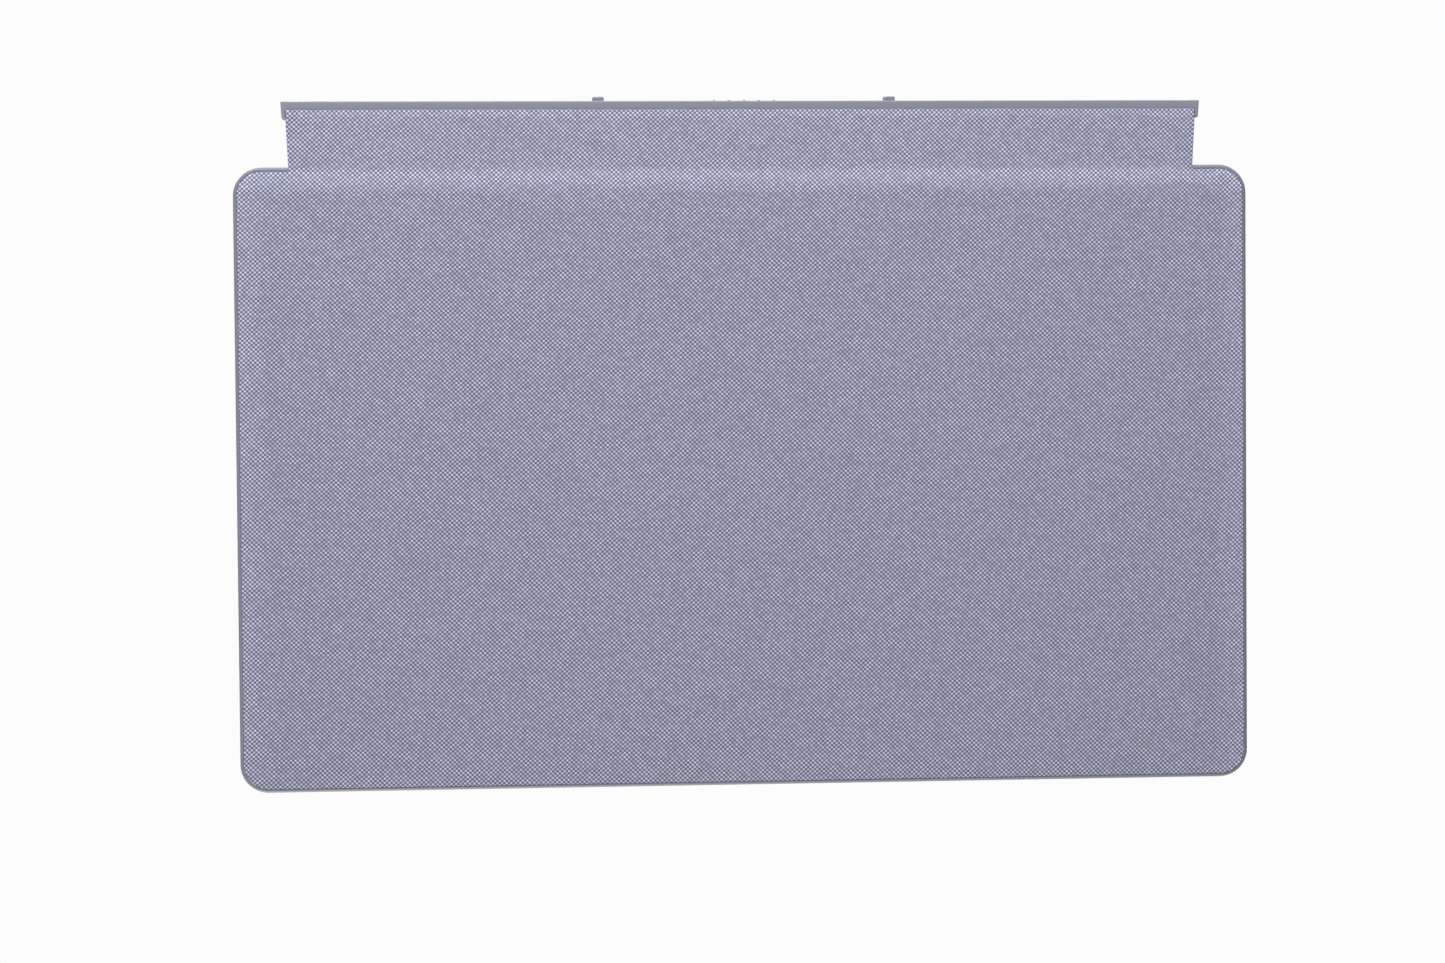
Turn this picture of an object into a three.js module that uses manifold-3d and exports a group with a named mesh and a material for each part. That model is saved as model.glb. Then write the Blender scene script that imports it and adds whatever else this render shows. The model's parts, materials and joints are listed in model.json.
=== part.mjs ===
// Fabric-backed detachable keyboard cover for a 13.3-inch tablet.
//
// Millimetres. +X is to the typist's right, +Y runs from the palm rest to the docking bar,
// +Z is up, keys up. The origin is the centre of the whole footprint, on the surface that
// the fabric back rests on. The cover has three stiff bodies, joined by two fabric creases:
// the keyboard, the flap behind it, and the docking bar at the flap's far edge.

import * as THREE from 'three';
import { mergeVertices } from 'three/addons/utils/BufferGeometryUtils.js';
import Module from 'manifold-3d';

const wasm = await Module();
wasm.setup();

// ---------------------------------------------------------------- driving dimensions

// Keyboard body, plan
const BODY_WIDTH = 306;
const BODY_DEPTH = 187;
const CORNER_RADIUS = 8.5;
const RIM_WALL = 1.1;
const RIM_GROOVE = 0.3; // dark line between the rim and the fabric
const RIM_FOOT = 0.15; // the rim stays this far above the resting surface

// Layers, from the resting surface up
const FABRIC_THICKNESS = 0.5;
const STIFFENER_THICKNESS = 0.6;
const SUPPORT_PLATE_THICKNESS = 0.3;
const DOME_SHEET_THICKNESS = 0.2;
const KEY_TRAVEL = 1.3;
const KEY_WEB_THICKNESS = 0.4;
const BEZEL_THICKNESS = 0.85;
const KEY_RISE = 1.25; // cap tops above the bezel
const KEY_RECESS = 0.1; // cap tops below the palm rest, so that a closed screen clears them
const CAP_TOP_THICKNESS = 0.9;
const CAP_WALL = 0.9;

// Fits
const LAYER_GAP = 0.05;
const FIT_GAP = 0.1;
const TRAVEL_CLEARANCE = 0.1;
const KEY_CLEARANCE = 0.35;
const TOUCHPAD_CLEARANCE = 0.3;
const PIN_CLEARANCE = 0.2;
const FOLD_CLEARANCE = 0.3;

// Key field
const KEY_UNITS = 15; // every row is this many key units wide
const KEY_SIDE_BORDER = 10.1; // body side to the key field
const KEY_REAR_BORDER = 9;
const KEY_ROW_PITCH = 18.6;
const FUNCTION_ROW_PITCH = 11.6;
const KEY_GAP = 2.9; // between neighbouring caps
const CAP_CORNER = 1.2;
const KEY_OPENING_MARGIN = 0.15; // palm rest opening beyond the key field
const BEZEL_LAP = 3; // bezel hidden under the palm rest
const DOME_BASE_RADIUS = 2.8;
const DOME_TOP_RADIUS = 1.8;
const WEB_WIDTH = 1.6; // hidden web along the front skirts of a run of caps
const ARROW_GAP = 2.1; // between the two stacked arrow caps

// Key rows, as cap widths in key units. A letter row has one wide key on the left, its
// letters, and a run of keys on the right
const LETTER_ROWS = [
  {
    lead: 'key_tab', leadWidth: 1.5, letters: 'qwertyuiop',
    run: 'keys_brackets', runWidths: [1, 1, 1.5],
  },
  {
    lead: 'key_caps', leadWidth: 1.75, letters: 'asdfghjkl',
    run: 'keys_enter', runWidths: [1, 1, 2.25],
  },
  {
    lead: 'key_shift', leadWidth: 2.25, letters: 'zxcvbnm',
    run: 'keys_shift_right', runWidths: [1, 1, 1, 2.75],
  },
];
const FUNCTION_ROW_WIDTHS = [1.5, ...ones(12), 1.5];
const NUMBER_ROW_WIDTHS = [...ones(13), 2];
const BOTTOM_LEFT_WIDTHS = [1.5, 1.25, 1.25];
const SPACE_WIDTH = 6;
const BOTTOM_RIGHT_WIDTHS = [1, 1, 1, 1, 1];

function ones(count) {
  return Array(count).fill(1);
}

// Palm rest
const DECK_WALL = 1.2;
const TOUCHPAD_WIDTH = 100;
const TOUCHPAD_THICKNESS = 1;
const TOUCHPAD_CORNER = 3;
const TOUCHPAD_REAR_MARGIN = 6;
const TOUCHPAD_FRONT_MARGIN = 7.4;
const TOUCHPAD_CLICK = 0.4; // travel at its front edge
const SWITCH_SIZE = 6;
const SWITCH_INSET = 8;
const BOARD_WIDTH = 58;
const BOARD_GAP = 3; // to the touchpad wall and to the key field
const BOARD_THICKNESS = 0.8;
const BOARD_CHIP = 7;
const BOARD_CHIP_HEIGHT = 0.9;

// Flap
const FLAP_LENGTH = 14.4; // keyboard body to docking bar
const FLAP_ROOT_INSET = 16.5; // body side to flap side, at the body
const FLAP_FLARE = 0.7; // each side, wider at the bar
const LINING_THICKNESS = 0.5;
const FLEX_THICKNESS = 0.2;
const FLEX_WIDTH = 30;

// Docking bar
const BAR_SIDE_INSET = 14.4; // body side to bar end
const BAR_DEPTH = 5.15;
const BAR_HEIGHT = 5.2;
const BAR_CORNER = 0.9;
const BAR_END_WALL = 1.4;
const BAR_DOCK_WALL = 0.9;
const BAR_FLAP_WALL = 0.8;
const BAR_FLOOR = 0.6;
const BAR_LID = 0.7;
const BAR_PLAIN_STRIP = 2.35; // bare plastic beyond the inlaid fabric

// Docking contacts
const POST_SPACING = 88;
const POST_WIDTH = 3.5;
const POST_HEIGHT = 2;
const POST_REACH = 1.5;
const POST_CORNER = 0.8;
const POST_FLANGE_WIDTH = 6.4;
const POST_FLANGE_DEPTH = 0.8;
const PIN_COUNT = 5;
const PIN_PITCH = 4.5;
const PIN_DIAMETER = 1.4;
const PIN_REACH = 0.5;
const PIN_LENGTH = 3.1;
const CARRIER_DEPTH = 2;
const CARRIER_END = 2.5; // carrier beyond the last pin's centre
const MAGNET_POST_GAP = 16; // magnets stop this far from the post flanges
const MAGNET_END_GAP = 17;
const YOKE_THICKNESS = 0.3;

// Facets
const CORNER_SEGMENTS = 5;
const SMALL_CORNER_SEGMENTS = 1;
const ROUND_SEGMENTS = 10;
const DOME_SEGMENTS = 6;
const PIN_TIP_STEPS = 3;
const MERGE_TOLERANCE = 1e-4;
const CUT_MARGIN = 1; // how far a cutter runs past what it cuts

// ---------------------------------------------------------------- derived levels

const STIFFENER_BOTTOM = FABRIC_THICKNESS + LAYER_GAP;
const STIFFENER_TOP = STIFFENER_BOTTOM + STIFFENER_THICKNESS;
const PLATE_BOTTOM = STIFFENER_TOP + LAYER_GAP;
const PLATE_TOP = PLATE_BOTTOM + SUPPORT_PLATE_THICKNESS;
const DOME_SHEET_BOTTOM = PLATE_TOP + LAYER_GAP;
const DOME_SHEET_TOP = DOME_SHEET_BOTTOM + DOME_SHEET_THICKNESS;
const KEY_BOTTOM = DOME_SHEET_TOP + TRAVEL_CLEARANCE + KEY_TRAVEL;
const WEB_TOP = KEY_BOTTOM + KEY_WEB_THICKNESS;
const BEZEL_BOTTOM = WEB_TOP + LAYER_GAP;
const BEZEL_TOP = BEZEL_BOTTOM + BEZEL_THICKNESS;
const KEY_TOP = BEZEL_TOP + KEY_RISE;
const CAP_UNDERSIDE = KEY_TOP - CAP_TOP_THICKNESS;
const DOME_TOP = CAP_UNDERSIDE - KEY_TRAVEL - TRAVEL_CLEARANCE;
const DECK_BOTTOM = BEZEL_TOP + LAYER_GAP;
const DECK_TOP = KEY_TOP + KEY_RECESS;

const FLEX_BOTTOM = FABRIC_THICKNESS + LAYER_GAP;
const FLEX_TOP = FLEX_BOTTOM + FLEX_THICKNESS;
const LINING_BOTTOM = FLEX_TOP + LAYER_GAP;
const FLAP_TOP = LINING_BOTTOM + LINING_THICKNESS;

// ---------------------------------------------------------------- derived places

const TOTAL_DEPTH = BODY_DEPTH + FLAP_LENGTH + BAR_DEPTH + POST_REACH;
const BODY_FRONT = -TOTAL_DEPTH / 2;
const BODY_REAR = BODY_FRONT + BODY_DEPTH;
const BODY_SIDE = BODY_WIDTH / 2;

const KEY_FIELD_SIDE = BODY_SIDE - KEY_SIDE_BORDER;
const KEY_UNIT = 2 * KEY_FIELD_SIDE / KEY_UNITS;
const KEY_FIELD_REAR = BODY_REAR - KEY_REAR_BORDER;
const FULL_ROW_COUNT = LETTER_ROWS.length + 2; // and the number and bottom rows
const KEY_FIELD_FRONT = KEY_FIELD_REAR - FUNCTION_ROW_PITCH - FULL_ROW_COUNT * KEY_ROW_PITCH;

const TOUCHPAD_REAR = KEY_FIELD_FRONT - TOUCHPAD_REAR_MARGIN;
const TOUCHPAD_FRONT = BODY_FRONT + TOUCHPAD_FRONT_MARGIN;
const TOUCHPAD_TOP = KEY_TOP;
const TOUCHPAD_BOTTOM = TOUCHPAD_TOP - TOUCHPAD_THICKNESS;

// Both crease axes run at the flap's mid-thickness, with the flap's edges a half thickness away
const FLAP_HALF_THICKNESS = FLAP_TOP / 2;
const BODY_CREASE = BODY_REAR + FLAP_HALF_THICKNESS + FOLD_CLEARANCE;
const BAR_FLAP_FACE = BODY_REAR + FLAP_LENGTH;
const BAR_DOCK_FACE = BAR_FLAP_FACE + BAR_DEPTH;
const BAR_CREASE = BAR_FLAP_FACE - FLAP_HALF_THICKNESS - FOLD_CLEARANCE;
const FLAP_NEAR_EDGE = BODY_CREASE + FLAP_HALF_THICKNESS;
const FLAP_FAR_EDGE = BAR_CREASE - FLAP_HALF_THICKNESS;
const FLAP_ROOT_SIDE = BODY_SIDE - FLAP_ROOT_INSET;
const BAR_SIDE = BODY_SIDE - BAR_SIDE_INSET;

const BAR_CAVITY_BOTTOM = FABRIC_THICKNESS + LAYER_GAP + BAR_FLOOR;
const BAR_CAVITY_TOP = BAR_HEIGHT - BAR_LID - LAYER_GAP;
const BAR_CAVITY_SIDE = BAR_SIDE - BAR_END_WALL;
const BAR_CAVITY_FLAP_SIDE = BAR_FLAP_FACE + BAR_FLAP_WALL;
const BAR_CAVITY_DOCK_SIDE = BAR_DOCK_FACE - BAR_DOCK_WALL;
const YOKE_BOTTOM = BAR_CAVITY_BOTTOM + LAYER_GAP;
const YOKE_TOP = YOKE_BOTTOM + YOKE_THICKNESS;
const CONTACT_BLOCK_BOTTOM = YOKE_TOP + FIT_GAP; // the post flanges and the pin carrier
const CONTACT_BLOCK_TOP = BAR_CAVITY_TOP - FIT_GAP;
const CONTACT_HEIGHT = (CONTACT_BLOCK_BOTTOM + CONTACT_BLOCK_TOP) / 2;

// ---------------------------------------------------------------- materials

function finish(color, roughness, metalness = 0) {
  return new THREE.MeshStandardMaterial({ color, roughness, metalness });
}

const WOVEN_FABRIC = finish(0x9696aa, 0.95);
const LINING_CLOTH = finish(0x74757c, 0.9);
const RIM_PLASTIC = finish(0x8c8e94, 0.5);
const DECK_PLASTIC = finish(0x85878d, 0.55);
const KEY_PLASTIC = finish(0x5b5d64, 0.5);
const BEZEL_PLASTIC = finish(0x6c6e75, 0.6);
const GLASS_FIBRE = finish(0x2c2e3a, 0.7);
const PLATED_STEEL = finish(0xa9abae, 0.35, 1);
const CAST_METAL = finish(0x8f9196, 0.4, 0.9);
const DOME_RUBBER = finish(0xd7d8d4, 0.6);
const CIRCUIT_BOARD = finish(0x1f4a38, 0.45);
const FLEX_FILM = finish(0x9a5b2a, 0.35);
const TOUCHPAD_GLASS = finish(0x7c7e85, 0.3);
const MAGNET_PLATING = finish(0xb9babd, 0.25, 1);
const CARRIER_RESIN = finish(0x24252a, 0.5);
const PIN_PLATING = finish(0xc2a86a, 0.3, 1);

// ---------------------------------------------------------------- solids

function toSolid(geometry) {
  const bare = geometry.clone();
  bare.deleteAttribute('normal');
  bare.deleteAttribute('uv');
  const merged = mergeVertices(bare, MERGE_TOLERANCE);
  return new wasm.Manifold(new wasm.Mesh({
    numProp: 3,
    vertProperties: Float32Array.from(merged.attributes.position.array),
    triVerts: Uint32Array.from(merged.index.array),
  }));
}

function toGeometry(solid) {
  const mesh = solid.getMesh();
  const geometry = new THREE.BufferGeometry();
  geometry.setAttribute('position', new THREE.BufferAttribute(mesh.vertProperties, 3));
  geometry.setIndex(new THREE.BufferAttribute(mesh.triVerts, 1));
  geometry.computeVertexNormals();
  return geometry;
}

function joined(geometries) {
  const [first, ...rest] = geometries.map(toSolid);
  return toGeometry(rest.reduce((sum, solid) => sum.add(solid), first));
}

function cut(geometry, cutters) {
  return toGeometry(cutters.map(toSolid).reduce((left, solid) => left.subtract(solid), toSolid(geometry)));
}

function block(x0, x1, y0, y1, z0, z1) {
  return new THREE.BoxGeometry(x1 - x0, y1 - y0, z1 - z0)
    .translate((x0 + x1) / 2, (y0 + y1) / 2, (z0 + z1) / 2);
}

function slab(shape, bottom, top, curveSegments = CORNER_SEGMENTS) {
  return new THREE.ExtrudeGeometry(shape, { depth: top - bottom, bevelEnabled: false, curveSegments })
    .translate(0, 0, bottom);
}

// A rectangle with round corners, traced anticlockwise. It serves as an outline or a hole.
function roundedRectangle(x0, x1, y0, y1, radius, path = new THREE.Shape()) {
  path.moveTo(x0 + radius, y0);
  path.lineTo(x1 - radius, y0);
  path.absarc(x1 - radius, y0 + radius, radius, -Math.PI / 2, 0);
  path.lineTo(x1, y1 - radius);
  path.absarc(x1 - radius, y1 - radius, radius, 0, Math.PI / 2);
  path.lineTo(x0 + radius, y1);
  path.absarc(x0 + radius, y1 - radius, radius, Math.PI / 2, Math.PI);
  path.lineTo(x0, y0 + radius);
  path.absarc(x0 + radius, y0 + radius, radius, Math.PI, 1.5 * Math.PI);
  path.closePath();
  return path;
}

function rectangleHole(x0, x1, y0, y1) {
  const path = new THREE.Path();
  path.moveTo(x0, y0);
  path.lineTo(x1, y0);
  path.lineTo(x1, y1);
  path.lineTo(x0, y1);
  path.closePath();
  return path;
}

// The keyboard body's outline, moved in by a distance
function bodyOutline(inset, path) {
  return roundedRectangle(
    -BODY_SIDE + inset, BODY_SIDE - inset, BODY_FRONT + inset, BODY_REAR - inset,
    CORNER_RADIUS - inset, path,
  );
}

function place(group, name, geometry, material) {
  const mesh = new THREE.Mesh(geometry, material);
  mesh.name = name;
  group.add(mesh);
  return mesh;
}

// ---------------------------------------------------------------- key layout

// One row of caps, left to right, from their widths in key units
function rowOfCaps(widths, rear, pitch) {
  const caps = [];
  let left = -KEY_FIELD_SIDE;
  for (const width of widths) {
    const right = left + width * KEY_UNIT;
    caps.push({
      x0: left + KEY_GAP / 2,
      x1: right - KEY_GAP / 2,
      y0: rear - pitch + KEY_GAP / 2,
      y1: rear - KEY_GAP / 2,
    });
    left = right;
  }
  return caps;
}

function fullRowRear(index) {
  return KEY_FIELD_REAR - FUNCTION_ROW_PITCH - index * KEY_ROW_PITCH;
}

// The last three bottom-row places are half-height arrow keys, with two in the middle one
function arrowCaps([left, middle, right]) {
  const half = (middle.y1 - middle.y0 - ARROW_GAP) / 2;
  const lower = (cap) => ({ ...cap, y1: cap.y0 + half });
  return [lower(left), { ...middle, y0: middle.y1 - half }, lower(middle), lower(right)];
}

// Every moving key node: its name, its caps, and where its hidden webs run
function keyNodes() {
  const nodes = [];
  const functionCaps = rowOfCaps(FUNCTION_ROW_WIDTHS, KEY_FIELD_REAR, FUNCTION_ROW_PITCH);
  const numberCaps = rowOfCaps(NUMBER_ROW_WIDTHS, fullRowRear(0), KEY_ROW_PITCH);
  nodes.push({ name: 'keys_upper_rows', rows: [functionCaps, numberCaps] });
  LETTER_ROWS.forEach((row, index) => {
    const widths = [row.leadWidth, ...ones(row.letters.length), ...row.runWidths];
    const caps = rowOfCaps(widths, fullRowRear(index + 1), KEY_ROW_PITCH);
    nodes.push({ name: row.lead, rows: [[caps[0]]] });
    [...row.letters].forEach((letter, i) => nodes.push({ name: `key_${letter}`, rows: [[caps[i + 1]]] }));
    nodes.push({ name: row.run, rows: [caps.slice(row.letters.length + 1)] });
  });
  const bottomWidths = [...BOTTOM_LEFT_WIDTHS, SPACE_WIDTH, ...BOTTOM_RIGHT_WIDTHS];
  const bottom = rowOfCaps(bottomWidths, fullRowRear(FULL_ROW_COUNT - 1), KEY_ROW_PITCH);
  const spaceIndex = BOTTOM_LEFT_WIDTHS.length;
  nodes.push({ name: 'keys_bottom_left', rows: [bottom.slice(0, spaceIndex)] });
  nodes.push({ name: 'key_space', rows: [[bottom[spaceIndex]]] });
  const arrows = arrowCaps(bottom.slice(-3));
  nodes.push({ name: 'keys_bottom_right', rows: [[...bottom.slice(spaceIndex + 1, -3), ...arrows]] });
  return nodes;
}

const KEY_NODES = keyNodes();
const ALL_CAPS = KEY_NODES.flatMap((node) => node.rows.flat());

// ---------------------------------------------------------------- keys

function keycap({ x0, x1, y0, y1 }) {
  const outline = roundedRectangle(x0, x1, y0, y1, CAP_CORNER);
  const shell = slab(outline, KEY_BOTTOM, KEY_TOP, SMALL_CORNER_SEGMENTS);
  const hollow = block(
    x0 + CAP_WALL, x1 - CAP_WALL, y0 + CAP_WALL, y1 - CAP_WALL,
    KEY_BOTTOM - CUT_MARGIN, CAP_UNDERSIDE,
  );
  return cut(shell, [hollow]);
}

// A web under the bezel joins the front skirts of one row's caps, with a tie from each cap
// that stands behind it
function rowWebs(caps) {
  const first = caps[0];
  const last = caps[caps.length - 1];
  const front = Math.min(...caps.map((cap) => cap.y0)) + CAP_WALL / 2;
  const web = block(
    first.x0 + CAP_WALL / 2, last.x1 - CAP_WALL / 2, front, front + WEB_WIDTH, KEY_BOTTOM, WEB_TOP,
  );
  const ties = caps.filter((cap) => cap.y0 > front).map((cap) => block(
    cap.x0 + CAP_WALL / 2, cap.x0 + CAP_WALL / 2 + WEB_WIDTH, front, cap.y0 + CAP_WALL / 2,
    KEY_BOTTOM, WEB_TOP,
  ));
  return [web, ...ties];
}

// Ties at both ends join the caps of neighbouring rows that share a node
function endTie(caps, nextCaps, side) {
  const cap = side < 0 ? caps[0] : caps[caps.length - 1];
  const next = side < 0 ? nextCaps[0] : nextCaps[nextCaps.length - 1];
  const edge = side < 0 ? cap.x0 + CAP_WALL / 2 : cap.x1 - CAP_WALL / 2 - WEB_WIDTH;
  return block(
    edge, edge + WEB_WIDTH, next.y1 - CAP_WALL / 2, cap.y0 + CAP_WALL / 2,
    KEY_BOTTOM, WEB_TOP,
  );
}

function keyGeometry(rows) {
  const caps = rows.flat().map(keycap);
  if (caps.length === 1) return caps[0];
  const webs = rows.flatMap(rowWebs);
  const ties = rows.slice(1).flatMap((row, i) => [-1, 1].map((side) => endTie(rows[i], row, side)));
  return joined([...caps, ...webs, ...ties]);
}

function makeKeys(group) {
  for (const { name, rows } of KEY_NODES) place(group, name, keyGeometry(rows), KEY_PLASTIC);
}

// ---------------------------------------------------------------- keyboard body

// The woven back stops a groove short of the rim, and runs out over the rear edge to the flap
function baseFabric() {
  const sheet = slab(bodyOutline(RIM_WALL + RIM_GROOVE), 0, FABRIC_THICKNESS);
  const tab = block(
    -FLAP_ROOT_SIDE, FLAP_ROOT_SIDE, BODY_REAR - CORNER_RADIUS, BODY_REAR, 0, FABRIC_THICKNESS,
  );
  return joined([sheet, tab]);
}

function baseStiffener() {
  return slab(bodyOutline(RIM_WALL + FIT_GAP), STIFFENER_BOTTOM, STIFFENER_TOP);
}

// A moulded band round the body, lifted over the fabric where the flap leaves
function rimFrame() {
  const ring = bodyOutline(0);
  ring.holes.push(bodyOutline(RIM_WALL, new THREE.Path()));
  const notchSide = FLAP_ROOT_SIDE + RIM_GROOVE;
  const notch = block(
    -notchSide, notchSide, BODY_REAR - RIM_WALL - CUT_MARGIN, BODY_REAR + CUT_MARGIN,
    -CUT_MARGIN, FABRIC_THICKNESS + FIT_GAP,
  );
  return cut(slab(ring, RIM_FOOT, DECK_TOP), [notch]);
}

const DECK_INSET = RIM_WALL + FIT_GAP;
const DECK_SIDE = BODY_SIDE - DECK_INSET;
const OPENING_SIDE = KEY_FIELD_SIDE + KEY_OPENING_MARGIN;
const OPENING_REAR = KEY_FIELD_REAR + KEY_OPENING_MARGIN;
const OPENING_FRONT = KEY_FIELD_FRONT - KEY_OPENING_MARGIN;
const POCKET_SIDE = TOUCHPAD_WIDTH / 2 + TOUCHPAD_CLEARANCE;
const PALM_RIB = (TOUCHPAD_FRONT + TOUCHPAD_REAR) / 2;

// Palm rest and key surround in one moulding, with a wall round its edge, a wall round the
// touchpad, and ribs that stand on the stiffener
function topDeck() {
  const plate = bodyOutline(DECK_INSET);
  plate.holes.push(rectangleHole(-OPENING_SIDE, OPENING_SIDE, OPENING_FRONT, OPENING_REAR));
  plate.holes.push(roundedRectangle(
    -POCKET_SIDE, POCKET_SIDE,
    TOUCHPAD_FRONT - TOUCHPAD_CLEARANCE, TOUCHPAD_REAR + TOUCHPAD_CLEARANCE,
    TOUCHPAD_CORNER, new THREE.Path(),
  ));
  const wall = bodyOutline(DECK_INSET);
  wall.holes.push(bodyOutline(DECK_INSET + DECK_WALL, new THREE.Path()));
  const ribBottom = STIFFENER_TOP + LAYER_GAP;
  const ribTop = DECK_BOTTOM + FIT_GAP;
  const ribFront = TOUCHPAD_FRONT - TOUCHPAD_CLEARANCE;
  const ribRear = TOUCHPAD_REAR + TOUCHPAD_CLEARANCE;
  const pocketWalls = [-1, 1].map((side) => {
    const inner = side * POCKET_SIDE;
    const outer = side * (POCKET_SIDE + DECK_WALL);
    return block(Math.min(inner, outer), Math.max(inner, outer), ribFront, ribRear, ribBottom, ribTop);
  });
  const palmRibs = [-1, 1].map((side) => {
    const inner = side * (POCKET_SIDE + DECK_WALL / 2);
    const outer = side * (DECK_SIDE - DECK_WALL / 2);
    return block(
      Math.min(inner, outer), Math.max(inner, outer), PALM_RIB, PALM_RIB + DECK_WALL, ribBottom, ribTop,
    );
  });
  return joined([
    slab(plate, DECK_BOTTOM, DECK_TOP), slab(wall, ribBottom, ribTop), ...pocketWalls, ...palmRibs,
  ]);
}

// A plate under the key field, running a lap beyond the palm rest's opening
function keyFieldSlab(lap, bottom, top) {
  const outline = roundedRectangle(
    -OPENING_SIDE - lap, OPENING_SIDE + lap, OPENING_FRONT - lap, OPENING_REAR + lap, CAP_CORNER,
  );
  return slab(outline, bottom, top, SMALL_CORNER_SEGMENTS);
}

// The sunken grille that the keys stand in
function keyBezel() {
  const openings = ALL_CAPS.map(({ x0, x1, y0, y1 }) => block(
    x0 - KEY_CLEARANCE, x1 + KEY_CLEARANCE, y0 - KEY_CLEARANCE, y1 + KEY_CLEARANCE,
    BEZEL_BOTTOM - CUT_MARGIN, BEZEL_TOP + CUT_MARGIN,
  ));
  return cut(keyFieldSlab(BEZEL_LAP, BEZEL_BOTTOM, BEZEL_TOP), openings);
}

function keySupportPlate() {
  return keyFieldSlab(BEZEL_LAP, PLATE_BOTTOM, PLATE_TOP);
}

// Switch sheet with a dome under each cap, drawn at the height that a pressed key leaves it
function domeSheet() {
  const sheet = block(
    -OPENING_SIDE, OPENING_SIDE, OPENING_FRONT, OPENING_REAR, DOME_SHEET_BOTTOM, DOME_SHEET_TOP,
  );
  const domeBottom = (DOME_SHEET_BOTTOM + DOME_SHEET_TOP) / 2;
  const domes = ALL_CAPS.map(({ x0, x1, y0, y1 }) => {
    const room = (y1 - y0) / 2 - CAP_WALL - WEB_WIDTH;
    const scale = Math.min(1, room / DOME_BASE_RADIUS);
    return new THREE.CylinderGeometry(
      DOME_TOP_RADIUS * scale, DOME_BASE_RADIUS * scale, DOME_TOP - domeBottom, DOME_SEGMENTS,
    ).rotateX(Math.PI / 2).translate((x0 + x1) / 2, (y0 + y1) / 2, (domeBottom + DOME_TOP) / 2);
  });
  return joined([sheet, ...domes]);
}

// The board in the left half of the palm rest, with two packages on it
function controllerBoard() {
  const x1 = -POCKET_SIDE - DECK_WALL - BOARD_GAP;
  const x0 = x1 - BOARD_WIDTH;
  const y0 = PALM_RIB + DECK_WALL + FIT_GAP;
  const y1 = OPENING_FRONT - BEZEL_LAP - BOARD_GAP;
  const z0 = STIFFENER_TOP + LAYER_GAP;
  const z1 = z0 + BOARD_THICKNESS;
  const board = block(x0, x1, y0, y1, z0, z1);
  const chips = [1, 2].map((n) => {
    const x = x0 + n * BOARD_WIDTH / 3;
    const y = (y0 + y1) / 2;
    const half = BOARD_CHIP / 2;
    return block(x - half, x + half, y - half, y + half, z1 - FIT_GAP, z1 + BOARD_CHIP_HEIGHT);
  });
  return joined([board, ...chips]);
}

// Touch surface with its click switch underneath, near the front edge
function touchpadPlate() {
  const outline = roundedRectangle(
    -TOUCHPAD_WIDTH / 2, TOUCHPAD_WIDTH / 2, TOUCHPAD_FRONT, TOUCHPAD_REAR, TOUCHPAD_CORNER,
  );
  const switchFront = TOUCHPAD_FRONT + SWITCH_INSET;
  const clickBoss = block(
    -SWITCH_SIZE / 2, SWITCH_SIZE / 2, switchFront, switchFront + SWITCH_SIZE,
    STIFFENER_TOP + TOUCHPAD_CLICK + TRAVEL_CLEARANCE, TOUCHPAD_BOTTOM + FIT_GAP,
  );
  return joined([slab(outline, TOUCHPAD_BOTTOM, TOUCHPAD_TOP, SMALL_CORNER_SEGMENTS), clickBoss]);
}

function makeKeyboard(group) {
  place(group, 'base_fabric', baseFabric(), WOVEN_FABRIC);
  place(group, 'base_stiffener', baseStiffener(), GLASS_FIBRE);
  place(group, 'rim_frame', rimFrame(), RIM_PLASTIC);
  place(group, 'top_deck', topDeck(), DECK_PLASTIC);
  place(group, 'key_bezel', keyBezel(), BEZEL_PLASTIC);
  place(group, 'key_support_plate', keySupportPlate(), PLATED_STEEL);
  place(group, 'dome_sheet', domeSheet(), DOME_RUBBER);
  place(group, 'controller_board', controllerBoard(), CIRCUIT_BOARD);
  place(group, 'touchpad_plate', touchpadPlate(), TOUCHPAD_GLASS);
}

// ---------------------------------------------------------------- flap

// A layer of the flap between its two creases, a little wider towards the bar
function flapLayer(bottom, top) {
  const flare = (y) => FLAP_ROOT_SIDE + FLAP_FLARE * (y - BODY_REAR) / FLAP_LENGTH;
  const shape = new THREE.Shape();
  shape.moveTo(-flare(FLAP_NEAR_EDGE), FLAP_NEAR_EDGE);
  shape.lineTo(flare(FLAP_NEAR_EDGE), FLAP_NEAR_EDGE);
  shape.lineTo(flare(FLAP_FAR_EDGE), FLAP_FAR_EDGE);
  shape.lineTo(-flare(FLAP_FAR_EDGE), FLAP_FAR_EDGE);
  shape.closePath();
  return slab(shape, bottom, top);
}

function makeFlap(group) {
  const flex = block(-FLEX_WIDTH / 2, FLEX_WIDTH / 2, FLAP_NEAR_EDGE, FLAP_FAR_EDGE, FLEX_BOTTOM, FLEX_TOP);
  place(group, 'flap_fabric', flapLayer(0, FABRIC_THICKNESS), WOVEN_FABRIC);
  place(group, 'flap_flex', flex, FLEX_FILM);
  place(group, 'flap_lining', flapLayer(LINING_BOTTOM, FLAP_TOP), LINING_CLOTH);
}

// ---------------------------------------------------------------- docking bar

const FABRIC_INLAY_REACH = BAR_DEPTH - BAR_PLAIN_STRIP;

function pinPlaces() {
  return Array.from({ length: PIN_COUNT }, (_, i) => (i - (PIN_COUNT - 1) / 2) * PIN_PITCH);
}

// A round cutter or shaft along Y
function roundAlongY(radius, x, y0, y1, z) {
  return new THREE.CylinderGeometry(radius, radius, y1 - y0, ROUND_SEGMENTS)
    .translate(x, (y0 + y1) / 2, z);
}

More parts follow.
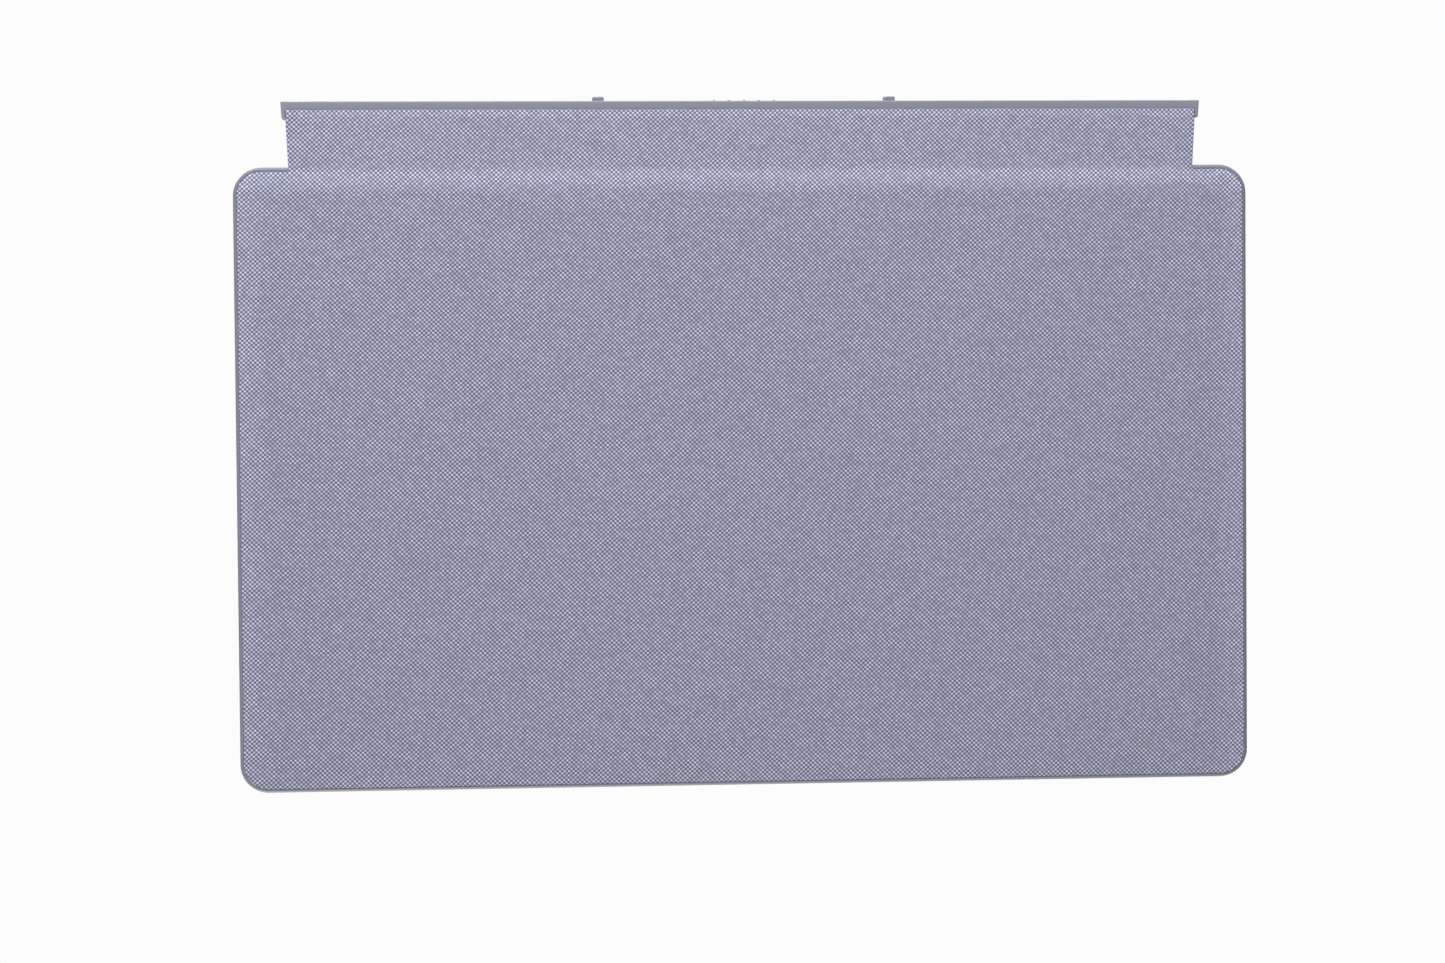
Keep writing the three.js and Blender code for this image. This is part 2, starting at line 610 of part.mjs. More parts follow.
// Trough open at the top, with a recess below for the fabric and openings for posts and pins
function barShell() {
  const outline = roundedRectangle(-BAR_SIDE, BAR_SIDE, BAR_FLAP_FACE, BAR_DOCK_FACE, BAR_CORNER);
  const cavity = block(
    -BAR_CAVITY_SIDE, BAR_CAVITY_SIDE, BAR_CAVITY_FLAP_SIDE, BAR_CAVITY_DOCK_SIDE,
    BAR_CAVITY_BOTTOM, BAR_HEIGHT + CUT_MARGIN,
  );
  const recess = block(
    -BAR_CAVITY_SIDE, BAR_CAVITY_SIDE,
    BAR_FLAP_FACE - CUT_MARGIN, BAR_FLAP_FACE + FABRIC_INLAY_REACH,
    -CUT_MARGIN, FABRIC_THICKNESS + LAYER_GAP,
  );
  const wallFrom = BAR_CAVITY_DOCK_SIDE - CUT_MARGIN;
  const wallTo = BAR_DOCK_FACE + CUT_MARGIN;
  const postOpenings = [-1, 1].map((side) => {
    const x = side * POST_SPACING / 2;
    const halfWidth = POST_WIDTH / 2 + FIT_GAP;
    const halfHeight = POST_HEIGHT / 2 + FIT_GAP;
    return block(
      x - halfWidth, x + halfWidth, wallFrom, wallTo,
      CONTACT_HEIGHT - halfHeight, CONTACT_HEIGHT + halfHeight,
    );
  });
  const pinOpenings = pinPlaces().map(
    (x) => roundAlongY(PIN_DIAMETER / 2 + PIN_CLEARANCE, x, wallFrom, wallTo, CONTACT_HEIGHT),
  );
  const shell = slab(outline, 0, BAR_HEIGHT, SMALL_CORNER_SEGMENTS);
  return cut(shell, [cavity, recess, ...postOpenings, ...pinOpenings]);
}

function barCover() {
  return block(
    -BAR_CAVITY_SIDE + FIT_GAP, BAR_CAVITY_SIDE - FIT_GAP,
    BAR_CAVITY_FLAP_SIDE + FIT_GAP, BAR_CAVITY_DOCK_SIDE - FIT_GAP,
    BAR_HEIGHT - BAR_LID, BAR_HEIGHT,
  );
}

function barFabric() {
  return block(
    -BAR_CAVITY_SIDE + RIM_GROOVE, BAR_CAVITY_SIDE - RIM_GROOVE,
    BAR_FLAP_FACE, BAR_FLAP_FACE + FABRIC_INLAY_REACH - FIT_GAP, 0, FABRIC_THICKNESS,
  );
}

// Round-nosed post, held by a flange behind the bar's outer wall
function dockPost(x) {
  const nose = new THREE.Shape();
  const side = POST_WIDTH / 2;
  const tip = BAR_DOCK_FACE + POST_REACH;
  const root = BAR_CAVITY_DOCK_SIDE - FIT_GAP - POST_FLANGE_DEPTH / 2;
  nose.moveTo(-side, root);
  nose.lineTo(side, root);
  nose.lineTo(side, tip - POST_CORNER);
  nose.absarc(side - POST_CORNER, tip - POST_CORNER, POST_CORNER, 0, Math.PI / 2);
  nose.lineTo(-side + POST_CORNER, tip);
  nose.absarc(-side + POST_CORNER, tip - POST_CORNER, POST_CORNER, Math.PI / 2, Math.PI);
  nose.closePath();
  const stem = slab(nose, CONTACT_HEIGHT - POST_HEIGHT / 2, CONTACT_HEIGHT + POST_HEIGHT / 2);
  const flange = block(
    -POST_FLANGE_WIDTH / 2, POST_FLANGE_WIDTH / 2,
    BAR_CAVITY_DOCK_SIDE - FIT_GAP - POST_FLANGE_DEPTH, BAR_CAVITY_DOCK_SIDE - FIT_GAP,
    CONTACT_BLOCK_BOTTOM, CONTACT_BLOCK_TOP,
  );
  return joined([stem, flange]).translate(x, 0, 0);
}

function pinCarrier() {
  const side = (PIN_COUNT - 1) / 2 * PIN_PITCH + CARRIER_END;
  const front = BAR_CAVITY_DOCK_SIDE - FIT_GAP;
  const body = block(
    -side, side, front - CARRIER_DEPTH, front, CONTACT_BLOCK_BOTTOM, CONTACT_BLOCK_TOP,
  );
  const bores = pinPlaces().map((x) => roundAlongY(
    PIN_DIAMETER / 2 + PIN_CLEARANCE, x,
    front - CARRIER_DEPTH - CUT_MARGIN, front + CUT_MARGIN, CONTACT_HEIGHT,
  ));
  return cut(body, bores);
}

// Sprung contact pin with a domed tip
function contactPin(x) {
  const radius = PIN_DIAMETER / 2;
  const profile = [new THREE.Vector2(0, 0), new THREE.Vector2(radius, 0)];
  for (let i = 0; i < PIN_TIP_STEPS; i += 1) {
    const angle = i * Math.PI / 2 / PIN_TIP_STEPS;
    profile.push(new THREE.Vector2(
      radius * Math.cos(angle), PIN_LENGTH - radius + radius * Math.sin(angle),
    ));
  }
  profile.push(new THREE.Vector2(0, PIN_LENGTH));
  return new THREE.LatheGeometry(profile, ROUND_SEGMENTS)
    .translate(x, BAR_DOCK_FACE + PIN_REACH - PIN_LENGTH, CONTACT_HEIGHT);
}

// Steel strip on the floor of the trough, with one long magnet near each end
function barMagnets() {
  const front = BAR_CAVITY_DOCK_SIDE - FIT_GAP;
  const back = BAR_CAVITY_FLAP_SIDE + FIT_GAP;
  const outer = BAR_CAVITY_SIDE - MAGNET_END_GAP;
  const inner = (POST_SPACING + POST_FLANGE_WIDTH) / 2 + MAGNET_POST_GAP;
  const yoke = block(-outer, outer, back, front, YOKE_BOTTOM, YOKE_TOP);
  const magnets = [[-outer, -inner], [inner, outer]].map(
    ([x0, x1]) => block(x0, x1, back, front, YOKE_BOTTOM, CONTACT_BLOCK_TOP),
  );
  return joined([yoke, ...magnets]);
}

function makeBar(group) {
  place(group, 'bar_shell', barShell(), RIM_PLASTIC);
  place(group, 'bar_cover', barCover(), RIM_PLASTIC);
  place(group, 'bar_fabric', barFabric(), WOVEN_FABRIC);
  place(group, 'bar_magnets', barMagnets(), MAGNET_PLATING);
  place(group, 'post_left', dockPost(-POST_SPACING / 2), CAST_METAL);
  place(group, 'post_right', dockPost(POST_SPACING / 2), CAST_METAL);
  place(group, 'pin_carrier', pinCarrier(), CARRIER_RESIN);
  pinPlaces().forEach((x, i) => place(group, `pin_${i + 1}`, contactPin(x), PIN_PLATING));
}

// ---------------------------------------------------------------- assembly

const cover = new THREE.Group();
for (const make of [makeKeyboard, makeKeys, makeFlap, makeBar]) {
  const group = new THREE.Group();
  make(group);
  cover.add(group);
}

export default cover;
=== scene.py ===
"""Fabric-backed keyboard cover for a tablet, built around its CAD frame.

Metres throughout. +X is to the typist's right, +Y runs from the palm rest to the docking bar,
and +Z is up, keys up. The woven back lies on z = 0, and the view is of that back, from below.
"""

import json
import math

import bmesh
import bpy
from mathutils import Matrix, Vector
from mathutils.geometry import tessellate_polygon
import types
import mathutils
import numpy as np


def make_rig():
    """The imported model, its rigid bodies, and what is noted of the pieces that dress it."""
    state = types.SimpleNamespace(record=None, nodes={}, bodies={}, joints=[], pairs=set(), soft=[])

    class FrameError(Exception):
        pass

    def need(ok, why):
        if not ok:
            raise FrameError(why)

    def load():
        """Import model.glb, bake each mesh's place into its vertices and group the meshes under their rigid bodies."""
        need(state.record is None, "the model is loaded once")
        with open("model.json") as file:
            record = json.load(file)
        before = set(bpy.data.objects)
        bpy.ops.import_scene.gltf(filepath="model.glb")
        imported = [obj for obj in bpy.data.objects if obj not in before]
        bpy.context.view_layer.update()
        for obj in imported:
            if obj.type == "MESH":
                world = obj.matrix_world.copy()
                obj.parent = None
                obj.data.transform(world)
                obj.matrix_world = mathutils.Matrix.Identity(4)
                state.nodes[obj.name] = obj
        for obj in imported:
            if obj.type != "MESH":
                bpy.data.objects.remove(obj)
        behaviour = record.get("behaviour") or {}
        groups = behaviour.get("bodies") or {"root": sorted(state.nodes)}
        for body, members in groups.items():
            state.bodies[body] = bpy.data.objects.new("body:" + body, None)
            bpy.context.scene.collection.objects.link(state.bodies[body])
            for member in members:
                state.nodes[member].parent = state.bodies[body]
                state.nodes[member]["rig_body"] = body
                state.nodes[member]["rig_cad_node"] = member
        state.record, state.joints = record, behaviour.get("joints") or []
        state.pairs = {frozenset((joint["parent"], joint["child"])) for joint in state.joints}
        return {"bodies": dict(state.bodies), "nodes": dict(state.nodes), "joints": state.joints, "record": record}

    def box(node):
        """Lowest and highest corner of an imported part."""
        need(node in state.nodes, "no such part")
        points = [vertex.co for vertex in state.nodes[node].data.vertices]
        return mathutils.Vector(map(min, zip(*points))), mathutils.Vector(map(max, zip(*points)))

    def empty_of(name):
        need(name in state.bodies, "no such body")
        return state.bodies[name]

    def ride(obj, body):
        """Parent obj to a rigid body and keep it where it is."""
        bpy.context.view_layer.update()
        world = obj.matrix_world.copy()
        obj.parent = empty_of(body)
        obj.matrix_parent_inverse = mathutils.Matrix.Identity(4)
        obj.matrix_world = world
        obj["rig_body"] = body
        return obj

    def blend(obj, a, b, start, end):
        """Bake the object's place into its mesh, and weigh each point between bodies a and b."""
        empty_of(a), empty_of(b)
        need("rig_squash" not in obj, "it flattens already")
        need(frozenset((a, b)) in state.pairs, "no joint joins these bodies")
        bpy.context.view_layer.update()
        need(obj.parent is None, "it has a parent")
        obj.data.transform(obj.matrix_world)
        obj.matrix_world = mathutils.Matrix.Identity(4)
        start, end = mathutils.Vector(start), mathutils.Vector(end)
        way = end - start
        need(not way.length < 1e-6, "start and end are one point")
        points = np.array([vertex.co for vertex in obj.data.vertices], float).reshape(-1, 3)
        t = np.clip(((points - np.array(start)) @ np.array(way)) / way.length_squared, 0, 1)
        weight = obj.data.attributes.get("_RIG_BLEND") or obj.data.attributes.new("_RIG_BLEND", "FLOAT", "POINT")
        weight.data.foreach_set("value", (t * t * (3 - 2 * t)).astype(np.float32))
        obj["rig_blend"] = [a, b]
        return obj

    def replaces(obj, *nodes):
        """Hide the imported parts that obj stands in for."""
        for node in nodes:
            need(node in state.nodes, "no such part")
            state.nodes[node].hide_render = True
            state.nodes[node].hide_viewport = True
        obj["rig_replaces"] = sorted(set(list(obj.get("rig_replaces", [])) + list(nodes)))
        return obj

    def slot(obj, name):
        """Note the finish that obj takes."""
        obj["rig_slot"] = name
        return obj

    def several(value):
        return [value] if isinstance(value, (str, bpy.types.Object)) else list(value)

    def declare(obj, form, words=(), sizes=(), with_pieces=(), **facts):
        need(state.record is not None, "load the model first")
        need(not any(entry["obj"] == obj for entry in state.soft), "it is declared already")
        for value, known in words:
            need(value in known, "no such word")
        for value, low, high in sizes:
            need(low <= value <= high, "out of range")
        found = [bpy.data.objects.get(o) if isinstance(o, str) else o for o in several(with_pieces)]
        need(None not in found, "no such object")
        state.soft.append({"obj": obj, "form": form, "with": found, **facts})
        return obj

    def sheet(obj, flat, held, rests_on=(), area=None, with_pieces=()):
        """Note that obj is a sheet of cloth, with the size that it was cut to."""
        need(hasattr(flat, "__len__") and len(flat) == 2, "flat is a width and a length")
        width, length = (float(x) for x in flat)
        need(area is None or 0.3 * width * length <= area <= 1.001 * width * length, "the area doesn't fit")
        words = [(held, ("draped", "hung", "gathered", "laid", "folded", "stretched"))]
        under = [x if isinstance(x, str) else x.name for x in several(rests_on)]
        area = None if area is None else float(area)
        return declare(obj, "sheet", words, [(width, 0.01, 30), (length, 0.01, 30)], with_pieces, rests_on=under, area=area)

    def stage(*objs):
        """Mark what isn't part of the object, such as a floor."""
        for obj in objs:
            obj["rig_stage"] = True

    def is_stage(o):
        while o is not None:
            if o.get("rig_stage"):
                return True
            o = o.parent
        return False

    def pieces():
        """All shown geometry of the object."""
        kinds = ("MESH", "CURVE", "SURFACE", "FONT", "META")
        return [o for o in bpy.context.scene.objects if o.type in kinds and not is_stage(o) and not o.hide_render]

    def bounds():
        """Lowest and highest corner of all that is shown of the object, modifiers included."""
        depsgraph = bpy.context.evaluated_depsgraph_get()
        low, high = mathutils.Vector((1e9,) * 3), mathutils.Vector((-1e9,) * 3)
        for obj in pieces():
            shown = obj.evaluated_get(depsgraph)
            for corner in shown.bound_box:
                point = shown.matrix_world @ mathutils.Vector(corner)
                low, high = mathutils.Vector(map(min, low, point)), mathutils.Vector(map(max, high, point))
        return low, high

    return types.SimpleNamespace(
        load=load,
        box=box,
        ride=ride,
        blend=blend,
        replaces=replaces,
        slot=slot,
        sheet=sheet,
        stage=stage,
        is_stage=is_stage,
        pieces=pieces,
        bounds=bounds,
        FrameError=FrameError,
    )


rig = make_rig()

bl_info = {
    "name": "Tablet keyboard cover",
    "version": (1, 0, 0),
    "blender": (4, 5, 0),
    "location": "3D View > Sidebar > Cover",
    "description": "Builds the woven back, mouldings, keys and docking bar of a keyboard cover",
    "category": "Object",
}

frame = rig.load()
CAD_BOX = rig.bounds()

MM = 0.001
TURN = 2 * math.pi
WEAVE_MAP = "weave"
MERGE_DISTANCE = 0.0002 * MM
SAME_PLACE = 0.01 * MM
SMALLEST_RADIUS = 0.02 * MM
SMOOTH_ANGLE = math.radians(34)


# ------------------------------------------------------------------ what the frame says


def low(node):
    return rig.box(node)[0]


def high(node):
    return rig.box(node)[1]


def side_at(node, y):
    """Half the width of a node at one place along Y."""
    return max(v.co.x for v in frame["nodes"][node].data.vertices if abs(v.co.y - y) < SAME_PLACE)


def middle(node):
    return (low(node).x + high(node).x) / 2


def joint_place(name):
    joint = next(j for j in frame["joints"] if j["name"] == name)
    return Vector(joint["pos_m"])


def cap_boxes(node):
    """The caps of a key node, row by row from the rear and left to right: (x0, x1, y0, y1)."""
    mesh = frame["nodes"][node].data
    top = high(node).z
    islands = []
    for face in mesh.polygons:
        corners = [mesh.vertices[i].co for i in face.vertices]
        if min(c.z for c in corners) < top - SAME_PLACE:
            continue
        box = [min(c.x for c in corners), max(c.x for c in corners),
               min(c.y for c in corners), max(c.y for c in corners)]
        touching = [b for b in islands if overlaps(b, box)]
        for other in touching:
            islands.remove(other)
            box = [min(box[0], other[0]), max(box[1], other[1]),
                   min(box[2], other[2]), max(box[3], other[3])]
        islands.append(box)
    return sorted(islands, key=lambda b: (-round(b[3] / MM), b[0]))


def overlaps(a, b, reach=0.05 * MM):
    return (a[0] <= b[1] + reach and b[0] <= a[1] + reach
            and a[2] <= b[3] + reach and b[2] <= a[3] + reach)


RIM_LOW = low("rim_frame")
RIM_HIGH = high("rim_frame")
BODY_CREASE = joint_place("flap_fold")
BAR_CREASE = joint_place("bar_fold")
FOLD_REACH = low("flap_fabric").y - BODY_CREASE.y
BODY_REAR = RIM_HIGH.y
BAR_FACE = low("bar_shell").y
FLAP_JOIN = low("flap_fabric").y + 0.45 * (high("flap_fabric").y - low("flap_fabric").y)
FLAP_ROOT_SIDE = side_at("base_fabric", BODY_REAR)
FLAP_FAR_SIDE = side_at("flap_fabric", high("flap_fabric").y)
FLAP_JOIN_SIDE = (FLAP_ROOT_SIDE + FLAP_FAR_SIDE) / 2
CONTACT_HEIGHT = (low("pin_3").z + high("pin_3").z) / 2
PIN_NODES = [name for name in sorted(frame["nodes"]) if name.startswith("pin_") and name[4:].isdigit()]
POST_NODES = ["post_left", "post_right"]
POST_HALF_WIDTH = 1.75 * MM
POST_HALF_HEIGHT = 1.0 * MM
KEY_NODES = [
    name for name in sorted(frame["nodes"])
    if name.startswith(("key_", "keys_")) and name not in ("key_bezel", "key_support_plate")
]


# ------------------------------------------------------------------ sizes and colours


def paint(code):
    """An sRGB colour code as linear red, green, blue and alpha."""
    parts = [int(code[i:i + 2], 16) / 255 for i in (0, 2, 4)]
    return tuple(p / 12.92 if p <= 0.04045 else ((p + 0.055) / 1.055) ** 2.4 for p in parts) + (1.0,)


def length(name, description, default):
    return bpy.props.FloatProperty(
        name=name, description=description, default=default, min=0.0, precision=5, unit="LENGTH",
    )


def angle(name, description, degrees):
    return bpy.props.FloatProperty(
        name=name, description=description, default=math.radians(degrees), unit="ROTATION",
    )


def share(name, description, default):
    return bpy.props.FloatProperty(
        name=name, description=description, default=default, min=0.0, subtype="FACTOR",
    )


def colour(name, description, code):
    return bpy.props.FloatVectorProperty(
        name=name, description=description, default=paint(code), size=4, min=0.0, max=1.0,
        subtype="COLOR",
    )


class CoverCloth(bpy.types.PropertyGroup):
    """The woven back and the lining of the flap."""

    weave_width: length("Weave width", "From one pale float to the next along a row", 1.38 * MM)
    weave_height: length("Weave height", "From one row of floats to the second row after it", 1.31 * MM)
    weave_skew: angle("Weave skew", "Lean of the warp off square", 3.3)
    crease_lift: length("Crease lift", "How far the crease stands back from the cloth's face", 0.33 * MM)
    crease_roll: length("Crease roll", "Where the cloth rolls over to the crease most steeply", 2.5 * MM)
    edge_round: length("Edge round", "Rounding of the cut edges", 0.12 * MM)
    # The crease setting is a painted highlight: how much paler the cloth is made towards the body's rear edge, a
    # little on the flap, and on the bar's cloth.
    crease_painted_highlight: share("Crease rub", "How much paler the cloth is worn over the rear edge", 0.26)
    # This setting makes the cloth paler towards its sides.
    side_paleness: share("Side rub", "How much paler the cloth is worn along its sides", 0.1)
    groove_depth: length("Groove depth", "Pressed line where the cloth meets the bar", 0.06 * MM)
    pale_yarn: colour("Pale yarn", "Lilac grey weft", "E3E3F9")
    dark_yarn: colour("Dark yarn", "Slate warp", "707289")
    lining: colour("Lining", "Microfibre on the flap's inner face", "83848C")


class CoverMouldings(bpy.types.PropertyGroup):
    """The rim, palm rest, grille, keys and docking bar."""

    corner: length("Corner", "Plan radius of the body's corners", 8.5 * MM)
    rim_wall: length("Rim wall", "Width of the rim seen from below", 1.1 * MM)
    rim_groove: length("Rim groove", "Gap between the rim and the cloth", 0.07 * MM)
    rim_round: length("Rim round", "Outer edges of the rim", 0.9 * MM)
    cap_corner: length("Cap corner", "Plan radius of the keycaps", 1.2 * MM)
    cap_wall: length("Cap wall", "Thickness of a keycap's skirt", 0.9 * MM)
    cap_dish: length("Cap dish", "Hollow in the top of a keycap", 0.16 * MM)
    bar_round: length("Bar round", "Long edges of the docking bar", 0.35 * MM)
    bar_drop: length("Bar drop", "How far the cloth on the bar stands proud of its underside", 0.12 * MM)
    bar_taper: length("Bar taper", "How much each bar end draws in towards the flap", 0.35 * MM)
    bar_corner: length("Bar corner", "Upright corners of the bar on the flap's side", 0.3 * MM)
    bar_dock_corner: length("Bar dock corner", "Upright corners of the bar on the tablet's side", 0.25 * MM)
    rim_colour: colour("Rim", "Moulded rim", "8F909D")
    bar_colour: colour("Bar", "Moulded docking bar", "979AA7")
    deck_colour: colour("Palm rest", "Moulded palm rest", "94959E")
    bezel_colour: colour("Key surround", "Sunken grille", "6A6C74")
    key_colour: colour("Keys", "Keycaps", "585A62")
    legend_colour: colour("Legends", "Printed characters", "D8DAE2")
    post_colour: colour("Posts", "Cast docking posts", "A3A4AE")


class CoverStage(bpy.types.PropertyGroup):
    """The floor, the lights and the camera."""

    distance: length("Distance", "Camera to the middle of the view", 0.8869)
    aim_x: bpy.props.FloatProperty(
        name="Aim X", description="Middle of the view along X", default=7.6 * MM, unit="LENGTH",
    )
    aim_y: bpy.props.FloatProperty(
        name="Aim Y", description="Middle of the view along Y", default=-12.0 * MM, unit="LENGTH",
    )
    sideways: angle("Sideways", "Camera's lean towards +X from straight below", 3.903)
    rearward: angle("Rearward", "Camera's lean towards +Y from straight below", 1.787)
    roll: angle("Roll", "Turn of the camera about its own axis", 0.474)
    lens: bpy.props.FloatProperty(
        name="Lens", description="Focal length on a 36 mm sensor", default=73.215, unit="CAMERA",
    )
    floor: colour("Floor", "Plain pale floor", "F2F2F3")
    rear_light: bpy.props.FloatProperty(
        name="Rear light", description="Low light beyond the docking bar", default=20.6, unit="POWER",
    )
    front_light: bpy.props.FloatProperty(
        name="Front light", description="Low light beyond the front edge", default=18.0, unit="POWER",
    )
    upper_light: bpy.props.FloatProperty(
        name="Upper light", description="Soft light above the keys", default=11.0, unit="POWER",
    )
    ambience: share("Ambience", "Strength of the white surroundings as a light", 0.25)


GROUPS = {"cover_cloth": CoverCloth, "cover_mouldings": CoverMouldings, "cover_stage": CoverStage}


# ------------------------------------------------------------------ shader expressions


class Signal:
    """A node output that can be written in arithmetic."""

    def __init__(self, finish, socket):
        self.finish = finish
        self.socket = socket

    def math(self, operation, *values):
        settings = {"operation": operation}
        return self.finish.node("ShaderNodeMath", settings, dict(enumerate(values)))

    def __add__(self, other):
        return self.math("ADD", self, other)

    def __radd__(self, other):
        return self.math("ADD", other, self)

    def __sub__(self, other):
        return self.math("SUBTRACT", self, other)

    def __rsub__(self, other):
        return self.math("SUBTRACT", other, self)

    def __mul__(self, other):
        return self.math("MULTIPLY", self, other)

    def __rmul__(self, other):
        return self.math("MULTIPLY", other, self)

    def __abs__(self):
        return self.math("ABSOLUTE", self)

    def __round__(self):
        return self.math("ROUND", self)

    def cosine(self):
        return self.math("COSINE", self)

    def clipped(self, low_end=0.0, high_end=1.0):
        return self.math("MAXIMUM", self.math("MINIMUM", self, high_end), low_end)

    def smooth_step(self, low_end, high_end):
        return self.finish.node(
            "ShaderNodeMapRange", {"interpolation_type": "SMOOTHSTEP"},
            {"Value": self, "From Min": low_end, "From Max": high_end},
        )


class Finish:
    """One procedural material, built up from nodes."""

    def __init__(self, name, **constants):
        self.material = bpy.data.materials.new(name)
        self.material.use_nodes = True
        self.tree = self.material.node_tree
        self.shader = self.tree.nodes["Principled BSDF"]
        for socket, value in constants.items():
            self.shader.inputs[socket.replace("_", " ").title().replace("Ior", "IOR")].default_value = value

    def feed(self, socket, value):
        if isinstance(value, Signal):
            self.tree.links.new(value.socket, socket)
        else:
            socket.default_value = value

    def node(self, kind, settings=None, inputs=None, output=0):
        made = self.tree.nodes.new(kind)
        for name, value in (settings or {}).items():
            setattr(made, name, value)
        for name, value in (inputs or {}).items():
            self.feed(made.inputs[name], value)
        return Signal(self, made.outputs[output])

    def place(self, flat=False):
        """Where a point is on its piece: along the cloth for a sheet, in the frame otherwise."""
        if flat:
            return self.node("ShaderNodeUVMap", {"uv_map": WEAVE_MAP})
        return self.node("ShaderNodeTexCoord", output="Object")

    def parts(self, vector):
        return [self.node("ShaderNodeSeparateXYZ", None, {0: vector}, output=i) for i in range(3)]

    def vector(self, x=0.0, y=0.0, z=0.0):
        return self.node("ShaderNodeCombineXYZ", None, {0: x, 1: y, 2: z})

    def stretched(self, vector, scale):
        return self.node("ShaderNodeVectorMath", {"operation": "MULTIPLY"}, {0: vector, 1: scale})

    def noise(self, at, grain, detail=3.0, roughness=0.55):
        """Smooth noise whose grain is a length, about 0.5 on average."""
        return self.node(
            "ShaderNodeTexNoise", None,
            {"Vector": at, "Scale": 1 / grain, "Detail": detail, "Roughness": roughness},
        )

    def cells(self, at, grain, output="Distance"):
        return self.node("ShaderNodeTexVoronoi", None, {"Vector": at, "Scale": 1 / grain}, output=output)

    def blend(self, factor, first, second, kind="MIX"):
        settings = {"data_type": "RGBA", "blend_type": kind}
        return self.node("ShaderNodeMix", settings, {0: factor, 6: first, 7: second}, output=2)

    def shaded(self, tint, amount):
        """A colour made lighter or darker by a signal about 1."""
        grey = self.vector(amount, amount, amount)
        return self.blend(1.0, tint, grey, "MULTIPLY")

    def bump(self, height, depth, strength=1.0):
        inputs = {"Height": height, "Distance": depth, "Strength": strength}
        return self.node("ShaderNodeBump", None, inputs)

    def covers(self, base, roughness=None, normal=None, metallic=None):
        for name, value in (("Base Color", base), ("Roughness", roughness),
                            ("Normal", normal), ("Metallic", metallic)):
            if value is not None:
                self.feed(self.shader.inputs[name], value)
        return self.material


# ------------------------------------------------------------------ finishes


def woven_cloth(cloth):
    """Plain weave: pale weft floats in staggered rows over a dark warp, with a painted highlight towards the body's
    rear edge and on the bar's cloth.
    """
    finish = Finish("woven_cloth", roughness=0.92, specular_ior_level=0.25, sheen_weight=0.08)
    at = finish.place(flat=True)
    x, y, _ = finish.parts(at)
    drift = (finish.noise(at, 12 * MM, 1.0) - 0.5) * 0.06
    columns = (x + y * math.tan(cloth.weave_skew)) * (1 / cloth.weave_width) + drift
    rows = y * (1 / cloth.weave_height) + drift
    crossing = (columns * TURN).cosine() * (rows * TURN).cosine()
    cell = finish.vector(round(columns * 2), round(rows * 2))
    yarn = finish.node("ShaderNodeTexWhiteNoise", {"noise_dimensions": "2D"}, {"Vector": cell})
    fibres = finish.noise(finish.stretched(at, (0.35, 1.0, 1.0)), 0.09 * MM, 2.0)
    cloudy = finish.noise(at, 30 * MM, 2.0)
    float_mask = (crossing + (yarn - 0.5) * 0.2 + (fibres - 0.5) * 0.25).smooth_step(-0.4, 0.82)
    # Painted highlight: the cloth is made paler as it nears the body's rear edge, less so past it on the flap, and
    # paler again on the bar's cloth.
    painted_highlight_line = BODY_REAR - 2.4 * MM
    onto_edge = y.smooth_step(BODY_REAR - 9 * MM, painted_highlight_line)
    past_edge = y.smooth_step(painted_highlight_line, BODY_REAR + 0.4 * MM)
    on_bar = y.smooth_step(BAR_FACE, BAR_FACE + 0.8 * MM)
    # The cloth is also made paler towards its sides.
    sides = abs(x).smooth_step(RIM_HIGH.x - 12 * MM, RIM_HIGH.x - 1 * MM)
    painted_light_and_side_paleness = 1 + (onto_edge - past_edge * 0.8 + on_bar * 0.5) * cloth.crease_painted_highlight + sides * cloth.side_paleness
    pale = finish.shaded(cloth.pale_yarn, (0.86 + yarn * 0.16 + (cloudy - 0.5) * 0.08) * painted_light_and_side_paleness)
    dark = finish.shaded(cloth.dark_yarn, (0.86 + fibres * 0.28) * painted_light_and_side_paleness)
    height = abs(crossing) * 0.6 + float_mask * 0.4 + (fibres - 0.5) * 0.15
    return finish.covers(
        finish.blend(float_mask, dark, pale),
        roughness=0.96 - float_mask * 0.1,
        normal=finish.bump(height, 0.07 * MM, 0.5),
    )


def lining_cloth(cloth):
    """Brushed microfibre with a fine rib."""
    finish = Finish("lining_cloth", roughness=0.9, specular_ior_level=0.2, sheen_weight=0.15)
    at = finish.place(flat=True)
    _, y, _ = finish.parts(at)
    nap = finish.noise(finish.stretched(at, (1.0, 0.4, 1.0)), 0.25 * MM, 4.0, 0.7)
    rib = (y * (TURN / (0.55 * MM)) + (nap - 0.5) * 3).cosine()
    cloudy = finish.noise(at, 12 * MM, 3.0)
    shade = 0.86 + nap * 0.16 + rib * 0.05 + (cloudy - 0.5) * 0.12
    return finish.covers(
        finish.shaded(cloth.lining, shade),
        roughness=0.84 + nap * 0.12,
        normal=finish.bump(nap + rib * 0.3, 0.05 * MM, 0.5),
    )


